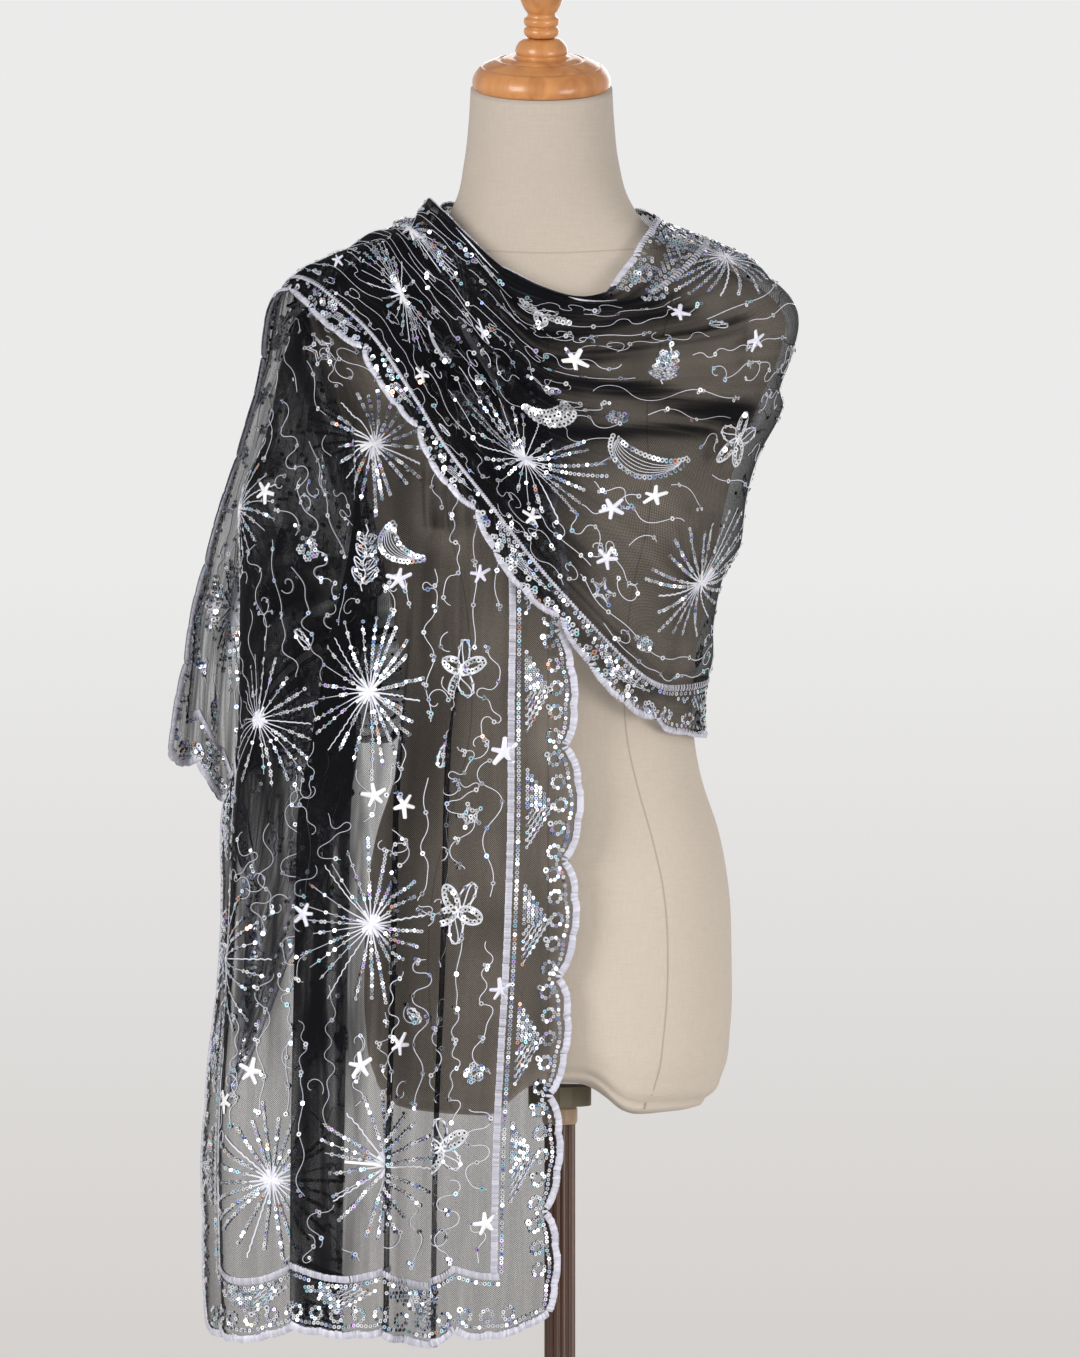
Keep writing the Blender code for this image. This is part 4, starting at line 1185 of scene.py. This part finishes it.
# The bars and stars are brightened above the satin's own colour: painted light.
joined("satin_bars", bar_parts, satin, floss_tints(len(b), STITCH_POINTS, 1.2))
joined("satin_stars", stars, satin, floss_tints(len(stars), STAR_POINTS, 1.25))
print("threads", len(threads), "bars", len(bars), "stars", len(stars))

# %% [markdown]
# ## The dress form
#
# A padded body without limbs, covered in linen. It could be sculpted, but sections at set heights
# keep it on the solid model, so it has the same sections, only finer. Its neck leans a little
# further forward. The linen is sewn in panels, so thin seam lines run down the front, the sides
# and the back, and one goes round the neck.


# %% Torso
TORSO_FLOOR, ARCH_RISE, ARCH_HALF = 669.0, 26.0, 40.0


def arched(x, z):
    """The underside is lifted in an arch over the pole."""
    fall = 1.0 - ease((z - TORSO_FLOOR) / 80.0)
    return z + ARCH_RISE * np.exp(-(x / ARCH_HALF) ** 4) * fall


def torso_skin(angle, z, up=0.0, share=1.0):
    """Points on the torso. The neck leans forward, and share draws them in to the middle."""
    size = torso_section(z)
    r = (torso_radius(angle, z) + up) * share
    lean = math.tan(NECK_TILT) * ease((z - 1330.0) / 100.0)
    x = size[..., 3] + r * np.sin(angle) + BODY_X
    y = size[..., 4] - r * np.cos(angle)
    return np.stack([x, y, arched(x, z) + (y - size[..., 4]) * lean], axis=-1)


turns = 144
levels = np.concatenate([
    np.linspace(669, 700, 14)[:-1], np.linspace(700, 1250, 60)[:-1], np.linspace(1250, 1450, 52),
])
ring_angle = np.linspace(0.0, 2 * math.pi, turns, endpoint=False)
ring_angle = np.where(ring_angle > math.pi, ring_angle - 2 * math.pi, ring_angle)
z, angle = np.meshgrid(levels, ring_angle, indexing="ij")
floor_level = np.full(turns, TORSO_FLOOR)
under = [torso_skin(ring_angle, floor_level, 0.0, share) for share in (0.02, 0.2, 0.4, 0.6, 0.8)]
points = np.concatenate(under + [torso_skin(angle, z).reshape(-1, 3)])
rings = len(under) + len(levels)
faces = tube_faces(rings, turns).tolist()
faces.append(tuple(reversed(range(turns))))
faces.append(tuple((rings - 1) * turns + j for j in range(turns)))
torso = mesh_object("torso_linen", points, faces, linen)
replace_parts(torso, "form_torso")

# %% Seams: heights from the bottom up, each with its angle from the front
SEAM_HALF, SEAM_UP = 0.55, 0.12
SEAMS = (
    ((672, 0.0), (1270, 0.0)),
    ((672, 3.14), (1340, 3.14)),
    ((672, 0.78), (840, 0.80), (980, 0.62), (1128, 0.60), (1220, 0.72), (1290, 1.0)),
    ((672, -0.78), (840, -0.80), (980, -0.62), (1128, -0.60), (1220, -0.72), (1290, -1.0)),
    ((672, 1.57), (1255, 1.57)),
    ((672, -1.57), (1255, -1.57)),
    ((672, 2.40), (980, 2.55), (1220, 2.35), (1290, 2.1)),
    ((672, -2.40), (980, -2.55), (1220, -2.35), (1290, -2.1)),
)
seam_parts = []
for table in SEAMS:
    table = np.array(table, float)
    z = np.linspace(table[0, 0], table[-1, 0], 120)
    a = np.full(len(z), table[0, 1])
    if len(table) > 2:
        a = curve_through(table[:, 0], table[:, 1:], z)[:, 0]
    wide = SEAM_HALF / torso_radius(a, z)
    p = np.stack([torso_skin(a - wide, z, SEAM_UP), torso_skin(a + wide, z, SEAM_UP)], axis=1)
    seam_parts.append((p.reshape(-1, 3), grid_faces(len(z), 2)))
a = np.linspace(-math.pi, math.pi, 181)
z = 1331.0 - 9.0 * np.cos(a)
p = np.stack([torso_skin(a, z - 0.5, SEAM_UP), torso_skin(a, z + 0.5, SEAM_UP)], axis=1)
seam_parts.append((p.reshape(-1, 3), grid_faces(len(a), 2)))
joined("torso_seams", seam_parts, seam_linen)
print("torso faces:", len(faces))

# %% [markdown]
# ## Turned cap, pole and foot
#
# These are lathe work, so each is a profile of radius and height swept round in fine steps. A Screw
# modifier would do the same. Plain points need nothing applied and are easy to tilt with the neck.


# %% Turned pieces
LATHE_STEPS, PROFILE_STEPS = 96, 4


def turned(name, profile, material, at, tilt=0.0):
    """Sweep a profile of radius and height round, tilt it and move it to its place."""
    r, h = np.array(profile).T[..., None]
    a = np.linspace(0.0, 2 * math.pi, LATHE_STEPS, endpoint=False)
    x, y, z = r * np.cos(a), r * np.sin(a), h + 0.0 * a
    c, s = math.cos(tilt), math.sin(tilt)
    p = np.stack([x + at[0], y * c - z * s + at[1], y * s + z * c + at[2]], axis=-1).reshape(-1, 3)
    return mesh_object(name, p, tube_faces(len(r), LATHE_STEPS)[:, ::-1], material)


def rounded(profile):
    """More points on a profile, on a smooth curve through it."""
    profile = np.array(profile, float)
    walk = np.concatenate([[0.0], np.cumsum(np.linalg.norm(np.diff(profile, axis=0), axis=1))])
    steps = [np.linspace(a, b, PROFILE_STEPS, endpoint=False) for a, b in zip(walk[:-1], walk[1:])]
    return curve_through(walk, profile, np.concatenate(steps + [walk[-1:]]))


# %% Cap, knob and foot
top = torso_section(np.array([NECK_TOP]))[0]
neck = (top[3] + BODY_X, top[4], NECK_TOP)
cap_profile = rounded((
    (0.5, 39.5), (9.0, 39.5), (13.0, 38.6), (17.0, 36.0), (19.4, 32.4), (20.0, 29.0), (19.2, 26.2),
    (20.6, 24.9), (26.0, 24.4), (30.0, 23.3), (31.4, 22.4), (33.0, 22.8), (38.0, 21.2), (43.0, 18.6),
    (44.4, 17.6), (46.0, 17.4), (49.0, 14.6), (51.2, 11.2), (52.6, 7.4), (52.6, 3.5), (51.5, 0.8),
    (50.0, 0.3),
))
knob_profile = rounded((
    (0.3, 109.0), (5.0, 108.0), (11.5, 103.0), (16.6, 94.0), (18.6, 84.0), (18.0, 75.0), (15.6, 67.0),
    (12.6, 60.6), (10.6, 57.4), (11.2, 55.6), (13.2, 54.0), (13.5, 51.6), (12.8, 49.4), (11.4, 48.0),
    (12.9, 46.6), (13.6, 44.4), (13.0, 42.2), (11.4, 40.4), (9.6, 39.8),
))
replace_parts(turned("cap_wood", cap_profile, honey, neck, NECK_TILT), "neck_cap")
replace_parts(turned("knob_wood", knob_profile, honey, neck, NECK_TILT), "cap_finial")
foot_profile = rounded((
    (12.2, 46.0), (20.0, 46.0), (25.0, 42.0), (31.0, 33.0), (60.0, 27.0), (110.0, 22.0), (158.0, 18.0),
    (171.0, 14.0), (175.0, 8.0), (172.0, 2.0), (168.0, 0.0),
))
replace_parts(turned("foot_wood", foot_profile, dark_wood, (0.0, 0.0, 0.0)), "stand_base")

# %% Fluted pole, plate and collar
FLUTES, FLUTE_DEPTH, POLE_RINGS = 12, 1.5, 12
POLE_RADIUS, POLE_LOW, POLE_HIGH = 12.0, 46.3, 660.5
a = np.linspace(0.0, 2 * math.pi, FLUTES * 10, endpoint=False)
r = POLE_RADIUS - FLUTE_DEPTH * np.clip(np.cos(FLUTES * a), 0.0, 1.0) ** 0.8
p = np.concatenate([
    np.stack([r * np.cos(a), r * np.sin(a), np.full(len(a), h)], axis=1)
    for h in np.linspace(POLE_LOW, POLE_HIGH, POLE_RINGS)
])
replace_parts(mesh_object("pole_wood", p, tube_faces(POLE_RINGS, len(a)), dark_wood), "stand_pole")

for name, material in (("pole_plate", plate_metal), ("pole_collar", collar_wood)):
    ob = bpy.data.objects[name]
    ob.data.materials.clear()
    ob.data.materials.append(material)
print("turned pieces done")

# %% [markdown]
# ## The cloth's facts
#
# The stole is one sheet, 0.50 m by 1.91 m flat, draped over the torso. What is sewn on goes with it.

# %% [markdown]
# ## Studio
#
# A pale round floor, an even pale surrounding and three large soft lights. The camera stands far
# back with a long lens, so the form looks as flat-on as in a catalogue picture.

# %% Floor
bpy.ops.mesh.primitive_cylinder_add(vertices=128, radius=1.6, depth=0.004, location=(0, 0, -0.0025))
floor = bpy.context.object
floor.name = "floor"
floor.data.materials.append(new_material("floor_paint", (0.80, 0.80, 0.79), 0.7)[0])

# %% Even surrounding
world = bpy.data.worlds.new("studio")
bpy.context.scene.world = world
world.use_nodes = True
tree = world.node_tree
back = tree.nodes["Background"]
place = node(tree, "ShaderNodeTexCoord").outputs["Generated"]
up = node(tree, "ShaderNodeSeparateXYZ", {0: place}).outputs[2]
pale = between(tree, ranged(tree, up, -0.11, 0.02), (0.665, 0.64, 0.62), (0.83, 0.83, 0.825))
overhead = ranged(tree, maths(tree, "ABSOLUTE", up), 0.20, 0.60)
tree.links.new(between(tree, overhead, pale, (0.34, 0.34, 0.35)), back.inputs["Color"])
back.inputs["Strength"].default_value = 1.0


# %% Lights
def soft_light(name, at, aim, size, power):
    data = bpy.data.lights.new(name, "AREA")
    data.shape = "RECTANGLE"
    data.size, data.size_y = size
    data.energy = power
    ob = bpy.data.objects.new(name, data)
    bpy.context.scene.collection.objects.link(ob)
    ob.location = at
    ob.rotation_euler = (Vector(aim) - Vector(at)).to_track_quat("-Z", "Y").to_euler()
    return ob


lights = (
    soft_light("key", (-2.2, -2.6, 2.0), (0, 0, 0.9), (1.4, 1.8), 62.0),
    soft_light("fill", (2.4, -2.6, 0.8), (0, 0, 0.8), (1.4, 1.6), 42.0),
    soft_light("rim", (0.6, 2.8, 2.2), (0, 0, 1.0), (2.0, 1.6), 22.0),
)

# %% Camera
camera_data = bpy.data.cameras.new("camera")
camera = bpy.data.objects.new("camera", camera_data)
bpy.context.scene.collection.objects.link(camera)
bpy.context.scene.camera = camera
PHOTO_WIDE, PHOTO_HIGH, PIXELS_PER_MM = 1080.0, 1357.0, 1.31
BODY_ACROSS, NECK_DOWN = 548.0, 90.0
DISTANCE, SENSOR = 4.6, 36.0
look_x = BODY_X * MM + (PHOTO_WIDE / 2 - BODY_ACROSS) / PIXELS_PER_MM * MM
look_z = (NECK_TOP - (PHOTO_HIGH / 2 - NECK_DOWN) / PIXELS_PER_MM) * MM
camera.location = (look_x, -DISTANCE, look_z)
camera.rotation_euler = (math.radians(90.0), 0.0, 0.0)
camera_data.sensor_width = SENSOR
camera_data.lens = SENSOR * DISTANCE / (PHOTO_HIGH / PIXELS_PER_MM * MM)

bpy.context.scene.view_settings.view_transform = "Standard"
bpy.context.scene.cycles.transparent_max_bounces = 32
